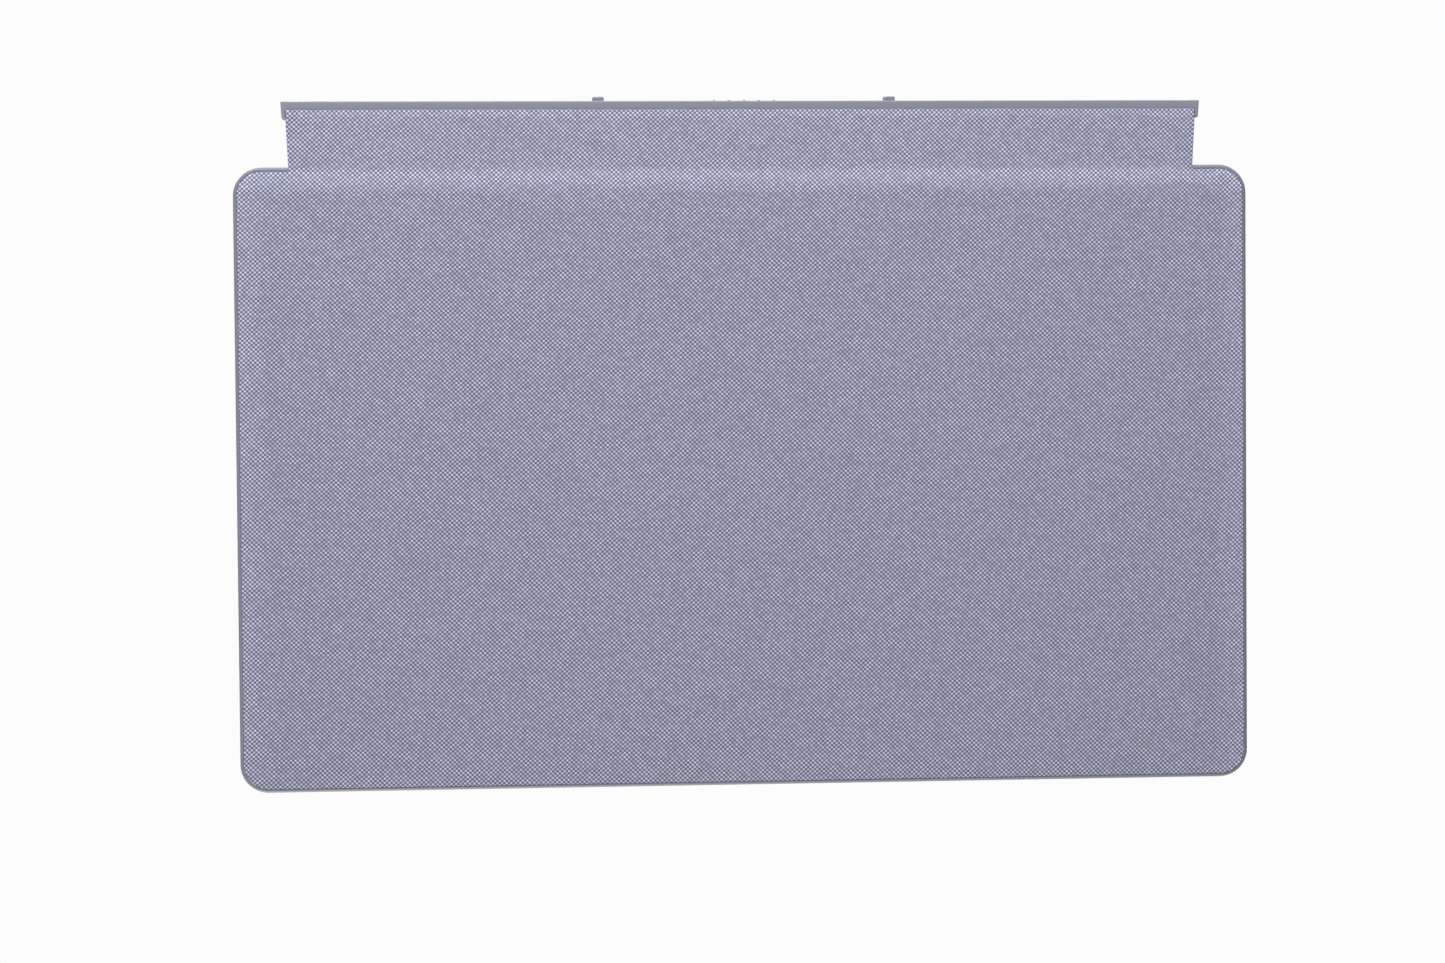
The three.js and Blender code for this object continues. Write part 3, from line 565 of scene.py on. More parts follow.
def moulded(name, tint, grain, gloss, texture_depth=0.02 * MM, wear=0.06):
    """Spark-textured plastic: a fine pitted skin, faint flow marks and handling scuffs."""
    finish = Finish(name, roughness=gloss, specular_ior_level=0.45)
    at = finish.place()
    pits = finish.cells(at, grain)
    skin = finish.noise(at, grain * 0.6, 4.0, 0.65)
    flow = finish.noise(finish.stretched(at, (0.3, 1.0, 1.0)), 14 * MM, 3.0)
    scuffs = finish.noise(finish.stretched(at, (1.0, 0.15, 1.0)), 1.6 * MM, 5.0, 0.7).smooth_step(0.6, 0.8)
    shade = 0.97 + (flow - 0.5) * 0.1 + (skin - 0.5) * 0.1 + scuffs * wear
    return finish.covers(
        finish.shaded(tint, shade),
        roughness=(gloss + (skin - 0.5) * 0.16 + scuffs * 0.08).clipped(0.05, 1.0),
        normal=finish.bump(pits * 0.5 + skin, texture_depth, 0.45),
    )


def legend_print(mouldings):
    finish = Finish("legend_print", roughness=0.45)
    at = finish.place()
    dots = finish.noise(at, 0.08 * MM, 3.0)
    return finish.covers(
        finish.shaded(mouldings.legend_colour, 0.9 + dots * 0.2),
        roughness=0.4 + dots * 0.2,
        normal=finish.bump(dots, 0.004 * MM, 0.4),
    )


def touch_surface():
    """Satin glass with a fine etched frost and faint finger drag."""
    finish = Finish("touch_surface", roughness=0.3, coat_weight=0.25)
    finish.shader.inputs["Coat Roughness"].default_value = 0.2
    at = finish.place()
    frost = finish.noise(at, 0.12 * MM, 3.0, 0.6)
    drag = finish.noise(finish.stretched(at, (1.0, 0.2, 1.0)), 9 * MM, 4.0, 0.6)
    return finish.covers(
        finish.shaded(paint("7E8089"), 0.94 + frost * 0.08 + (drag - 0.5) * 0.06),
        roughness=0.27 + frost * 0.1 + (drag - 0.5) * 0.14,
        normal=finish.bump(frost, 0.005 * MM, 0.5),
    )


def cast_metal(name, tint, gloss, metallic=0.9):
    """Blasted and plated metal with tumbled, brighter spots."""
    finish = Finish(name, roughness=gloss, metallic=metallic)
    at = finish.place()
    blast = finish.noise(at, 0.14 * MM, 4.0, 0.7)
    patches = finish.noise(at, 1.3 * MM, 3.0)
    return finish.covers(
        finish.shaded(tint, 0.9 + blast * 0.1 + (patches - 0.5) * 0.16),
        roughness=gloss - 0.06 + blast * 0.12,
        normal=finish.bump(blast, 0.01 * MM, 0.5),
    )


def rolled_steel():
    """Cold-rolled plate: long rolling lines and a few dull stains."""
    finish = Finish("rolled_steel", roughness=0.35, metallic=1.0)
    at = finish.place()
    lines = finish.noise(finish.stretched(at, (0.02, 1.0, 1.0)), 0.3 * MM, 3.0)
    stains = finish.noise(at, 18 * MM, 4.0).smooth_step(0.55, 0.75)
    return finish.covers(
        finish.shaded(paint("A9ABAE"), 0.86 + lines * 0.24 - stains * 0.1),
        roughness=0.28 + lines * 0.1 + stains * 0.2,
        normal=finish.bump(lines, 0.01 * MM, 0.4),
    )


def glass_laminate():
    """Woven glass fibre under dark resin."""
    finish = Finish("glass_laminate", roughness=0.55, coat_weight=0.2)
    at = finish.place()
    x, y, _ = finish.parts(at)
    per_strand = TURN / (2.2 * MM)
    twill = (x * per_strand).cosine() * (y * per_strand).cosine()
    resin = finish.noise(at, 4 * MM, 4.0)
    return finish.covers(
        finish.shaded(paint("30323E"), 0.9 + twill * 0.12 + (resin - 0.5) * 0.3),
        roughness=0.45 + resin * 0.2,
        normal=finish.bump(twill + resin, 0.02 * MM, 0.4),
    )


def silicone_sheet():
    finish = Finish("silicone_sheet", roughness=0.55, subsurface_weight=0.1)
    at = finish.place()
    bloom = finish.noise(at, 2.5 * MM, 4.0)
    grain = finish.noise(at, 0.2 * MM, 2.0)
    return finish.covers(
        finish.shaded(paint("D3D4D0"), 0.92 + (bloom - 0.5) * 0.14),
        roughness=0.45 + bloom * 0.15 + grain * 0.08,
        normal=finish.bump(grain, 0.008 * MM, 0.5),
    )


def circuit_board():
    """Green solder mask over copper traces, with tinned pads."""
    finish = Finish("circuit_board", roughness=0.4, coat_weight=0.3)
    at = finish.place()
    x, _, z = finish.parts(at)
    chip_top = high("controller_board").z
    traces = (x * (TURN / (1.2 * MM))).cosine().smooth_step(0.1, 0.3)
    lanes = finish.cells(finish.stretched(at, (0.25, 1.0, 0.0)), 2.4 * MM).smooth_step(0.2, 0.3)
    pads = finish.cells(finish.stretched(at, (1.0, 1.0, 0.0)), 1.7 * MM).smooth_step(0.16, 0.12)
    chips = z.smooth_step(chip_top - 0.6 * MM, chip_top - 0.5 * MM)
    mask = finish.blend(traces * lanes, paint("1D4A38"), paint("2C6A4C"))
    tinned = finish.blend(pads * (1 - chips), mask, paint("C9CBC8"))
    return finish.covers(
        finish.blend(chips, tinned, paint("1B1C20")),
        roughness=0.42 - pads * 0.12,
        metallic=pads * (1 - chips) * 0.9,
        normal=finish.bump(traces * lanes + pads, 0.03 * MM, 0.5),
    )


def flex_film():
    """Amber film with parallel copper lines."""
    finish = Finish("flex_film", roughness=0.35, coat_weight=0.3)
    at = finish.place()
    x, _, _ = finish.parts(at)
    lines = (x * (TURN / (1.0 * MM))).cosine().smooth_step(-0.1, 0.2)
    haze = finish.noise(at, 1.5 * MM, 3.0)
    tint = finish.blend(lines, paint("8A4B1E"), paint("C07C3C"))
    return finish.covers(
        finish.shaded(tint, 0.9 + haze * 0.2),
        roughness=0.3 + haze * 0.15,
        normal=finish.bump(lines, 0.02 * MM, 0.5),
    )


def satin_resin():
    finish = Finish("satin_resin", roughness=0.5)
    at = finish.place()
    grain = finish.noise(at, 0.15 * MM, 4.0)
    return finish.covers(
        finish.shaded(paint("26272C"), 0.85 + grain * 0.3),
        roughness=0.42 + grain * 0.16,
        normal=finish.bump(grain, 0.008 * MM, 0.5),
    )


# ------------------------------------------------------------------ mesh building


def arc(cx, cy, radius, start, end, steps):
    """Points round a centre, from one angle in degrees to another."""
    angles = [math.radians(start + (end - start) * i / steps) for i in range(steps + 1)]
    return [(cx + radius * math.cos(a), cy + radius * math.sin(a)) for a in angles]


def rounded_rectangle(corner_low, corner_high, radius, inset=0.0, steps=6, rear=()):
    """Anticlockwise outline, moved in by a distance; rear holds further points of the +Y side."""
    x0, y0 = corner_low[0] + inset, corner_low[1] + inset
    x1, y1 = corner_high[0] - inset, corner_high[1] - inset
    r = max(radius - inset, SMALLEST_RADIUS)
    return [
        *arc(x1 - r, y0 + r, r, -90, 0, steps),
        *arc(x1 - r, y1 - r, r, 0, 90, steps),
        *rear,
        *arc(x0 + r, y1 - r, r, 90, 180, steps),
        *arc(x0 + r, y0 + r, r, 180, 270, steps),
    ]


def edge_profile(bottom, top, bottom_round, top_round, steps=4):
    """(inset, z) from the underside's border, up the side, to the top's border."""
    border = 1.3
    profile = [(bottom_round * border, bottom)]
    if bottom_round:
        profile += arc(bottom_round, bottom + bottom_round, bottom_round, 270, 180, steps)
    if top_round:
        profile += arc(top_round, top - top_round, top_round, 180, 90, steps)
    return profile + [(top_round * border, top)]


def mirrored(side):
    """The points of the right side, with the same points on the left after them."""
    return side + [(-x, y) for x, y in reversed(side)]


def add_loop(bm, points):
    return [bm.verts.new(p) for p in points]


def join_loops(bm, first, second):
    for i, corner in enumerate(first):
        j = (i + 1) % len(first)
        bm.faces.new((corner, first[j], second[j], second[i]))


def fill_loops(bm, loops):
    """A flat face over one loop, or triangles between a loop and the holes in it."""
    if len(loops) == 1:
        bm.faces.new(loops[0])
        return
    corners = [v for loop in loops for v in loop]
    for triple in tessellate_polygon([[v.co for v in loop] for loop in loops]):
        bm.faces.new([corners[i] for i in triple])


def add_skin(bm, outline, profile):
    """The wall that an outline, which is a function of its inset, draws up a profile."""
    loops = [add_loop(bm, [(x, y, z) for x, y in outline(inset)]) for inset, z in profile]
    for first, second in zip(loops, loops[1:]):
        join_loops(bm, first, second)
    return loops[0], loops[-1]


def add_plate(bm, outlines, profile):
    """A plate with rounded edges; the outlines of its holes follow its own."""
    floors, roofs = zip(*[add_skin(bm, outline, profile) for outline in outlines])
    fill_loops(bm, floors)
    fill_loops(bm, roofs)


def add_block(bm, x0, x1, y0, y1, z0, z1, edge=0.1 * MM):
    def outline(inset):
        return rounded_rectangle((x0, y0), (x1, y1), 2 * edge, inset, steps=2)
    add_plate(bm, [outline], edge_profile(z0, z1, edge, edge, steps=2))


def add_rod(bm, x, z, profile, steps=28):
    """A turned shape along Y: profile is (y, radius), closed by flat faces at both ends."""
    loops = [
        add_loop(bm, [(x + u, y, z + v) for u, v in arc(0, 0, radius, 0, 360 - 360 / steps, steps - 1)])
        for y, radius in profile
    ]
    for first, second in zip(loops, loops[1:]):
        join_loops(bm, first, second)
    bm.faces.new(loops[0])
    bm.faces.new(loops[-1])


def to_mesh(name, bm):
    bmesh.ops.remove_doubles(bm, verts=bm.verts, dist=MERGE_DISTANCE)
    bmesh.ops.dissolve_degenerate(bm, edges=bm.edges, dist=MERGE_DISTANCE)
    bmesh.ops.recalc_face_normals(bm, faces=bm.faces)
    mesh = bpy.data.meshes.new(name)
    bm.to_mesh(mesh)
    bm.free()
    return mesh


def link(thing):
    bpy.context.scene.collection.objects.link(thing)


def evaluated_mesh(thing):
    return bpy.data.meshes.new_from_object(thing.evaluated_get(bpy.context.evaluated_depsgraph_get()))


def make_piece(name, mesh, *materials):
    """An object in the scene with smooth faces and creased corners."""
    mesh.shade_smooth()
    mesh.set_sharp_from_angle(angle=SMOOTH_ANGLE)
    for material in materials:
        mesh.materials.append(material)
    piece = bpy.data.objects.new(name, mesh)
    link(piece)
    return piece


def carved(mesh, cutters):
    """The mesh with each cutter's solid taken away."""
    base = bpy.data.objects.new("carved", mesh)
    link(base)
    tools = []
    for cutter in cutters:
        tool = bpy.data.objects.new("cutter", cutter)
        link(tool)
        modifier = base.modifiers.new("cut", "BOOLEAN")
        modifier.operation = "DIFFERENCE"
        modifier.solver = "EXACT"
        modifier.object = tool
        tools.append(tool)
    result = evaluated_mesh(base)
    for scrap in (base, *tools):
        bpy.data.objects.remove(scrap)
    return result


def cutter_mesh(add, *args, **extra):
    bm = bmesh.new()
    add(bm, *args, **extra)
    return to_mesh("cutter", bm)


# ------------------------------------------------------------------ cloth


def crease_lift(cloth, y):
    """How far the cloth's face stands back at a place along Y: most at the body's crease, where
    it rolls over the body's rear edge, and less along the flap up to the groove at the bar."""
    if y < BODY_CREASE.y:
        d = (BODY_CREASE.y - y) / cloth.crease_roll
        return cloth.crease_lift * (d + 1) * math.exp(-d)
    along = min((y - BODY_CREASE.y) / (BAR_CREASE.y - BODY_CREASE.y), 1.0)
    groove_line, groove_reach, slope = BAR_FACE + 0.15 * MM, 0.4 * MM, 1.1
    groove = math.exp(-((y - groove_line) / groove_reach) ** 2)
    return cloth.crease_lift * (1 - along) ** slope + cloth.groove_depth * groove


def fold_rows(crease, step=0.13 * MM):
    """Places along Y of the cuts that let a sheet bend at a crease."""
    count = round(FOLD_REACH / step)
    return [crease + i * step for i in range(-count, count + 1)]


def even_rows(first, last, spacing):
    count = max(round((last - first) / spacing), 1)
    return [first + (last - first) * i / count for i in range(1, count)]


def flat_size(points):
    """Width, depth and area of an outline."""
    width = max(x for x, _ in points) - min(x for x, _ in points)
    depth = max(y for _, y in points) - min(y for _, y in points)
    area = abs(sum(a[0] * b[1] - b[0] * a[1] for a, b in zip(points, points[1:] + points[:1]))) / 2
    return width, depth, area


def sheet_mesh(name, outline, bottom, top, edge, rows, lift=None):
    """A cut sheet with rounded edges, rows of faces across it and its flat map in metres."""
    bm = bmesh.new()
    add_plate(bm, [outline], edge_profile(bottom, top, edge, edge, steps=3))
    for y in rows:
        parts = [*bm.verts, *bm.edges, *bm.faces]
        bmesh.ops.bisect_plane(bm, geom=parts, dist=MERGE_DISTANCE, plane_co=(0, y, 0), plane_no=(0, 1, 0))
    flat = bm.loops.layers.uv.new(WEAVE_MAP)
    for face in bm.faces:
        for corner in face.loops:
            x, y, z = corner.vert.co
            corner[flat].uv = (x + z - bottom, y + z - bottom)
    if lift:
        for vert in bm.verts:
            vert.co.z += lift(vert.co.y) * (top - vert.co.z) / (top - bottom)
    return to_mesh(name, bm)


class COVER_OT_woven_back(bpy.types.Operator):
    """Make the woven back in two halves that meet in the middle of the flap"""

    bl_idname = "cover.woven_back"
    bl_label = "Woven back"

    def execute(self, context):
        cloth = context.scene.cover_cloth
        mouldings = context.scene.cover_mouldings
        material = woven_cloth(cloth)
        bottom, top = low("base_fabric").z, high("base_fabric").z
        margin = mouldings.rim_wall + mouldings.rim_groove
        inlay_side, inlay_end = high("bar_fabric").x + 0.15 * MM, high("bar_fabric").y
        shoulder = BAR_FACE - 0.5 * MM
        flat_step, bent_step, bar_step = 12 * MM, 0.75 * MM, 0.2 * MM
        bent_from = BODY_REAR - 12.5 * MM

        def keyboard_half(inset):
            root, join = FLAP_ROOT_SIDE - inset, FLAP_JOIN_SIDE - inset
            rear = BODY_REAR - margin - inset
            tab = mirrored([(root, rear), (root, BODY_REAR), (join, FLAP_JOIN)])
            return rounded_rectangle(
                RIM_LOW, RIM_HIGH, mouldings.corner, margin + inset, steps=16, rear=tab,
            )

        def bar_half(inset):
            return mirrored([
                (FLAP_JOIN_SIDE - inset, FLAP_JOIN),
                (FLAP_FAR_SIDE - inset, shoulder),
                (inlay_side - inset, BAR_FACE),
                (inlay_side - inset, inlay_end - inset),
            ])

        halves = (
            ("woven_back", keyboard_half, "keyboard", "flap", BODY_CREASE.y,
             ["base_fabric", "flap_fabric"], "flap_lining_front",
             even_rows(low("base_fabric").y, BODY_REAR - flat_step, flat_step)
             + even_rows(bent_from, BODY_CREASE.y - FOLD_REACH, bent_step)
             + even_rows(BODY_CREASE.y + FOLD_REACH, FLAP_JOIN, bent_step)),
            ("woven_back_bar", bar_half, "flap", "dock_bar", BAR_CREASE.y,
             ["bar_fabric"], "flap_lining_rear",
             even_rows(FLAP_JOIN, BAR_CREASE.y - FOLD_REACH, bent_step)
             + even_rows(BAR_CREASE.y + FOLD_REACH, BAR_FACE + 1.5 * MM, bar_step)),
        )
        for name, outline, near, far, crease, nodes, lining, rows in halves:
            mesh = sheet_mesh(
                name, outline, bottom, top, cloth.edge_round, rows + fold_rows(crease),
                lift=lambda y: crease_lift(cloth, y),
            )
            piece = make_piece(name, mesh, material)
            width, depth, area = flat_size(outline(0.0))
            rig.replaces(piece, *nodes)
            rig.slot(piece, "woven_fabric")
            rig.sheet(
                piece, flat=(width, depth), held="stretched", area=area,
                rests_on=["base_stiffener", "bar_trough"], with_pieces=[lining],
            )
            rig.blend(piece, near, far, start=(0, crease - FOLD_REACH, 0), end=(0, crease + FOLD_REACH, 0))
        return {"FINISHED"}


class COVER_OT_flap_lining(bpy.types.Operator):
    """Make the lining of the flap, from the rim to the docking bar, in two halves"""

    bl_idname = "cover.flap_lining"
    bl_label = "Flap lining"

    def execute(self, context):
        cloth = context.scene.cover_cloth
        material = lining_cloth(cloth)
        bottom, top = low("flap_lining").z, high("flap_lining").z
        end_gap, row_step = 0.03 * MM, 1.5 * MM

        def strip(near_side, near, far_side, far):
            return lambda inset: mirrored([(near_side - inset, near), (far_side - inset, far)])

        rear = BODY_REAR + end_gap
        face = BAR_FACE - end_gap
        halves = (
            ("flap_lining_front", strip(FLAP_ROOT_SIDE, rear, FLAP_JOIN_SIDE, FLAP_JOIN),
             "keyboard", "flap", BODY_CREASE.y, rear, FLAP_JOIN),
            ("flap_lining_rear", strip(FLAP_JOIN_SIDE, FLAP_JOIN, FLAP_FAR_SIDE, face),
             "flap", "dock_bar", BAR_CREASE.y, FLAP_JOIN, face),
        )
        for name, outline, near, far, crease, first, last in halves:
            rows = fold_rows(crease) + even_rows(first, last, row_step)
            mesh = sheet_mesh(name, outline, bottom, top, cloth.edge_round, rows)
            piece = make_piece(name, mesh, material)
            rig.replaces(piece, "flap_lining")
            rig.slot(piece, "lining_cloth")
            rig.blend(piece, near, far, start=(0, crease - FOLD_REACH, 0), end=(0, crease + FOLD_REACH, 0))
        return {"FINISHED"}


# ------------------------------------------------------------------ keyboard body


class COVER_OT_rim(bpy.types.Operator):
    """Make the moulded rim, lifted over the cloth where the flap leaves"""

    bl_idname = "cover.rim"
    bl_label = "Rim"

    def execute(self, context):
        mouldings = context.scene.cover_mouldings
        wall, outer, inner, corner_steps = mouldings.rim_wall, mouldings.rim_round, 0.06 * MM, 16
        foot, top = RIM_LOW.z, RIM_HIGH.z
        notch_side = FLAP_ROOT_SIDE + mouldings.rim_groove
        notch_top = high("base_fabric").z + 0.1 * MM
        section = [
            *arc(outer, foot + outer, outer, 270, 180, 5),
            *arc(outer, top - outer, outer, 180, 90, 5),
            *arc(wall - inner, top - inner, inner, 90, 0, 3),
            *arc(wall - inner, foot + inner, inner, 0, -90, 3),
        ]
        bm = bmesh.new()
        loops = []
        first_stop = 2 * (corner_steps + 1)
        for inset, z in section:
            raised = z + notch_top - foot if z < foot + 1.5 * outer else z
            y = RIM_HIGH.y - inset
            outline = rounded_rectangle(
                RIM_LOW, RIM_HIGH, mouldings.corner, inset, steps=corner_steps,
                rear=mirrored([(notch_side, y), (notch_side, y)]),
            )
            heights = [z] * len(outline)
            heights[first_stop + 1:first_stop + 3] = [raised, raised]
            loops.append(add_loop(bm, [(px, py, pz) for (px, py), pz in zip(outline, heights)]))
        for first, second in zip(loops, loops[1:] + loops[:1]):
            join_loops(bm, first, second)
        material = moulded("rim_moulding", mouldings.rim_colour, grain=0.28 * MM, gloss=0.5)
        piece = make_piece("rim_band", to_mesh("rim_band", bm), material)
        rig.replaces(piece, "rim_frame")
        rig.slot(piece, "rim_plastic")
        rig.ride(piece, "keyboard")
        return {"FINISHED"}


class COVER_OT_palm_rest(bpy.types.Operator):
    """Make the palm rest moulding with its key opening, touchpad pocket, walls and ribs"""

    bl_idname = "cover.palm_rest"
    bl_label = "Palm rest"

    def execute(self, context):
        mouldings = context.scene.cover_mouldings
        deck_low, deck_high = low("top_deck"), high("top_deck")
        plate_bottom = high("key_bezel").z + 0.05 * MM
        field_margin, pocket_margin, wall = 1.6 * MM, 0.3 * MM, 1.2 * MM
        opening_corner, pocket_corner, foot_round = 1.0 * MM, 3.3 * MM, 0.1 * MM
        keys_low = Vector(map(min, *[low(n) for n in KEY_NODES])) - Vector((field_margin,) * 3)
        keys_high = Vector(map(max, *[high(n) for n in KEY_NODES])) + Vector((field_margin,) * 3)
        pad_low, pad_high = low("touchpad_plate"), high("touchpad_plate")
        corner = mouldings.corner - (deck_low.x - RIM_LOW.x)

        def outer(inset):
            return rounded_rectangle(deck_low, deck_high, corner, inset, steps=12)

        def inner_wall(inset):
            return rounded_rectangle(deck_low, deck_high, corner, wall - inset, steps=12)

        def key_opening(inset):
            return rounded_rectangle(keys_low, keys_high, opening_corner, -inset, steps=6)

        def pocket(inset):
            return rounded_rectangle(pad_low, pad_high, pocket_corner, -pocket_margin - inset, steps=10)

        bm = bmesh.new()
        plate_edge = edge_profile(plate_bottom, deck_high.z, foot_round, 0.28 * MM)
        add_plate(bm, [outer, key_opening, pocket], plate_edge)
        wall_top = plate_bottom + 0.02 * MM
        add_plate(bm, [outer, inner_wall], edge_profile(deck_low.z, wall_top, foot_round, 0.0, steps=2))
        for side in (-1, 1):
            near = side * (pad_high.x + pocket_margin)
            far = near + side * wall
            add_block(bm, min(near, far), max(near, far), pad_low.y, pad_high.y, deck_low.z, wall_top)
            edge = side * (deck_high.x - wall / 2)
            rib = (pad_low.y + pad_high.y) / 2
            add_block(bm, min(far, edge), max(far, edge), rib, rib + wall, deck_low.z, wall_top)
        material = moulded(
            "palm_rest_moulding", mouldings.deck_colour,
            grain=0.22 * MM, gloss=0.52, texture_depth=0.015 * MM,
        )
        piece = make_piece("palm_rest", to_mesh("palm_rest", bm), material)
        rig.replaces(piece, "top_deck")
        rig.slot(piece, "deck_plastic")
        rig.ride(piece, "keyboard")
        return {"FINISHED"}


class COVER_OT_key_surround(bpy.types.Operator):
    """Make the sunken grille that the keys stand in"""

    bl_idname = "cover.key_surround"
    bl_label = "Key surround"

    def execute(self, context):
        mouldings = context.scene.cover_mouldings
        bezel_low, bezel_high = low("key_bezel"), high("key_bezel")
        clearance, bezel_corner = 0.35 * MM, 1.2 * MM

        def outer(inset):
            return rounded_rectangle(bezel_low, bezel_high, bezel_corner, inset, steps=4)

        def opening(box):
            x0, x1, y0, y1 = box
            return lambda inset: rounded_rectangle(
                (x0, y0), (x1, y1), mouldings.cap_corner + clearance / 2, -clearance - inset, steps=4,
            )

        bm = bmesh.new()
        openings = [opening(box) for node in KEY_NODES for box in cap_boxes(node)]
        grille_edge = edge_profile(bezel_low.z, bezel_high.z, 0.08 * MM, 0.15 * MM, steps=3)
        add_plate(bm, [outer, *openings], grille_edge)
        material = moulded(
            "surround_moulding", mouldings.bezel_colour,
            grain=0.2 * MM, gloss=0.6, texture_depth=0.015 * MM,
        )
        piece = make_piece("key_surround", to_mesh("key_surround", bm), material)
        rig.replaces(piece, "key_bezel")
        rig.slot(piece, "bezel_plastic")
        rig.ride(piece, "keyboard")
        return {"FINISHED"}


class COVER_OT_touchpad(bpy.types.Operator):
    """Make the touch surface with its click boss"""

    bl_idname = "cover.touchpad"
    bl_label = "Touchpad"

    def execute(self, context):
        pad_low, pad_high = low("touchpad_plate"), high("touchpad_plate")
        thickness, corner, boss_half, boss_inset = 1.0 * MM, 3.0 * MM, 3.0 * MM, 8.0 * MM

        def outline(inset):
            return rounded_rectangle(pad_low, pad_high, corner, inset, steps=10)

        bm = bmesh.new()
        bottom = pad_high.z - thickness
        add_plate(bm, [outline], edge_profile(bottom, pad_high.z, 0.12 * MM, 0.22 * MM))
        front = pad_low.y + boss_inset
        add_block(bm, -boss_half, boss_half, front, front + 2 * boss_half, pad_low.z, bottom + 0.1 * MM)
        piece = make_piece("touch_plate", to_mesh("touch_plate", bm), touch_surface())
        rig.replaces(piece, "touchpad_plate")
        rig.slot(piece, "touchpad_surface")
        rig.ride(piece, "touchpad")
        return {"FINISHED"}


# ------------------------------------------------------------------ keys


# A key node that isn't listed holds one letter, the last of its own name.
LEGENDS = {
    "keys_upper_rows": ["esc", *[f"F{n}" for n in range(1, 13)], "del",
                        "`", *"1234567890-=", "←"],
    "key_tab": ["tab"],
    "keys_brackets": ["[", "]", "\\"],
    "key_caps": ["caps"],
    "keys_enter": [";", "'", "enter"],
    "key_shift": ["shift"],
    "keys_shift_right": [",", ".", "/", "shift"],
    "keys_bottom_left": ["ctrl", "fn", "alt"],
    "key_space": [""],
    "keys_bottom_right": ["alt", "ctrl", "↑", "←", "↓", "→"],
}
FUNCTION_ROW_CAPS = 14


def dish_depth(part, mouldings):
    """How deep a cap's dish is, part of the way from its brow to its middle."""
    return mouldings.cap_dish * (1 - (1 - part) ** 2)


def add_keycap(bm, box, bottom, top, mouldings):
    """A hollow cap with leaning sides, a rounded brow and a shallow dish."""
    x0, x1, y0, y1 = box
    half = min(x1 - x0, y1 - y0) / 2
    wall, roof, brow, lean = mouldings.cap_wall, 0.9 * MM, 0.38 * MM, 0.12 * MM
    inner_foot, outer_foot = 0.05 * MM, 0.1 * MM
    rim = lean + brow
    profile = [(wall, top - roof), (wall, bottom + inner_foot), (wall - inner_foot, bottom)]
    profile += [(outer_foot, bottom), (0.0, bottom + outer_foot), (lean, top - brow)]
    profile += arc(rim, top - brow, brow, 180, 90, 5)[1:]
    for part in (0.12, 0.3, 0.52, 0.76, 0.94):
        profile.append((rim + (half - rim) * part, top - dish_depth(part, mouldings)))

    def outline(inset):
        return rounded_rectangle((x0, y0), (x1, y1), mouldings.cap_corner, inset, steps=5)

    for end in add_skin(bm, outline, profile):
        bm.faces.new(end)


def add_webs(bm, rows, mouldings, bottom):
    """The hidden webs that join the caps of one key node."""
    web, inner = 1.6 * MM, mouldings.cap_wall / 2

    def add_web(x0, x1, y0, y1):
        add_block(bm, x0, x1, y0, y1, bottom, bottom + 0.4 * MM, edge=0.04 * MM)

    for caps in rows:
        front = min(c[2] for c in caps) + inner
        add_web(min(c[0] for c in caps) + inner, max(c[1] for c in caps) - inner, front, front + web)
        for x0, _, y0, _ in caps:
            if y0 > front:
                add_web(x0 + inner, x0 + inner + web, front, y0 + inner)
    for caps, following in zip(rows, rows[1:]):
        rear = max(c[3] for c in following) - inner
        front = min(c[2] for c in caps) + inner
        for side in (min(c[0] for c in caps) + inner, max(c[1] for c in caps) - inner - web):
            add_web(side, side + web, rear, front)


def add_legend(bm, text, box, top, mouldings):
    """Raised print that follows the dish: near the rear left corner, or mid-way on a short cap."""
    if not text:
        return
    word_size, letter_size, tallest = 2.6 * MM, 4.0 * MM, 0.42
    from_left, from_rear, short = 2.2 * MM, 2.3 * MM, 10 * MM
    rim, proud = 0.5 * MM, 0.01 * MM
    x0, x1, y0, y1 = box
    half = min(x1 - x0, y1 - y0) / 2
    word = len(text) > 1
    font = bpy.data.curves.new("legend", "FONT")
    font.body = text
    font.size = min(word_size if word else letter_size, (y1 - y0) * tallest)
    font.extrude = 0.012 * MM
    font.resolution_u = 3
    holder = bpy.data.objects.new("legend", font)
    link(holder)
    letters = evaluated_mesh(holder)
    bpy.data.objects.remove(holder)
    bpy.data.curves.remove(font)
    wide = [v.co.x for v in letters.vertices]
    tall = [v.co.y for v in letters.vertices]
    left = x0 + from_left - min(wide)
    base = y1 - from_rear - max(tall)
    if y1 - y0 <= short:
        base = (y0 + y1) / 2 - (min(tall) + max(tall)) / 2
        if not word:
            left = (x0 + x1) / 2 - (min(wide) + max(wide)) / 2
    for vert in letters.vertices:
        x, y = vert.co.x + left, vert.co.y + base
        inset = min(x - x0, x1 - x, y - y0, y1 - y)
        part = min(max((inset - rim) / (half - rim), 0.0), 1.0)
        vert.co = (x, y, top - dish_depth(part, mouldings) + proud + vert.co.z)
    before = len(bm.faces)
    bm.from_mesh(letters)
    bm.faces.ensure_lookup_table()
    for face in bm.faces[before:]:
        face.material_index = 1
    bpy.data.meshes.remove(letters)


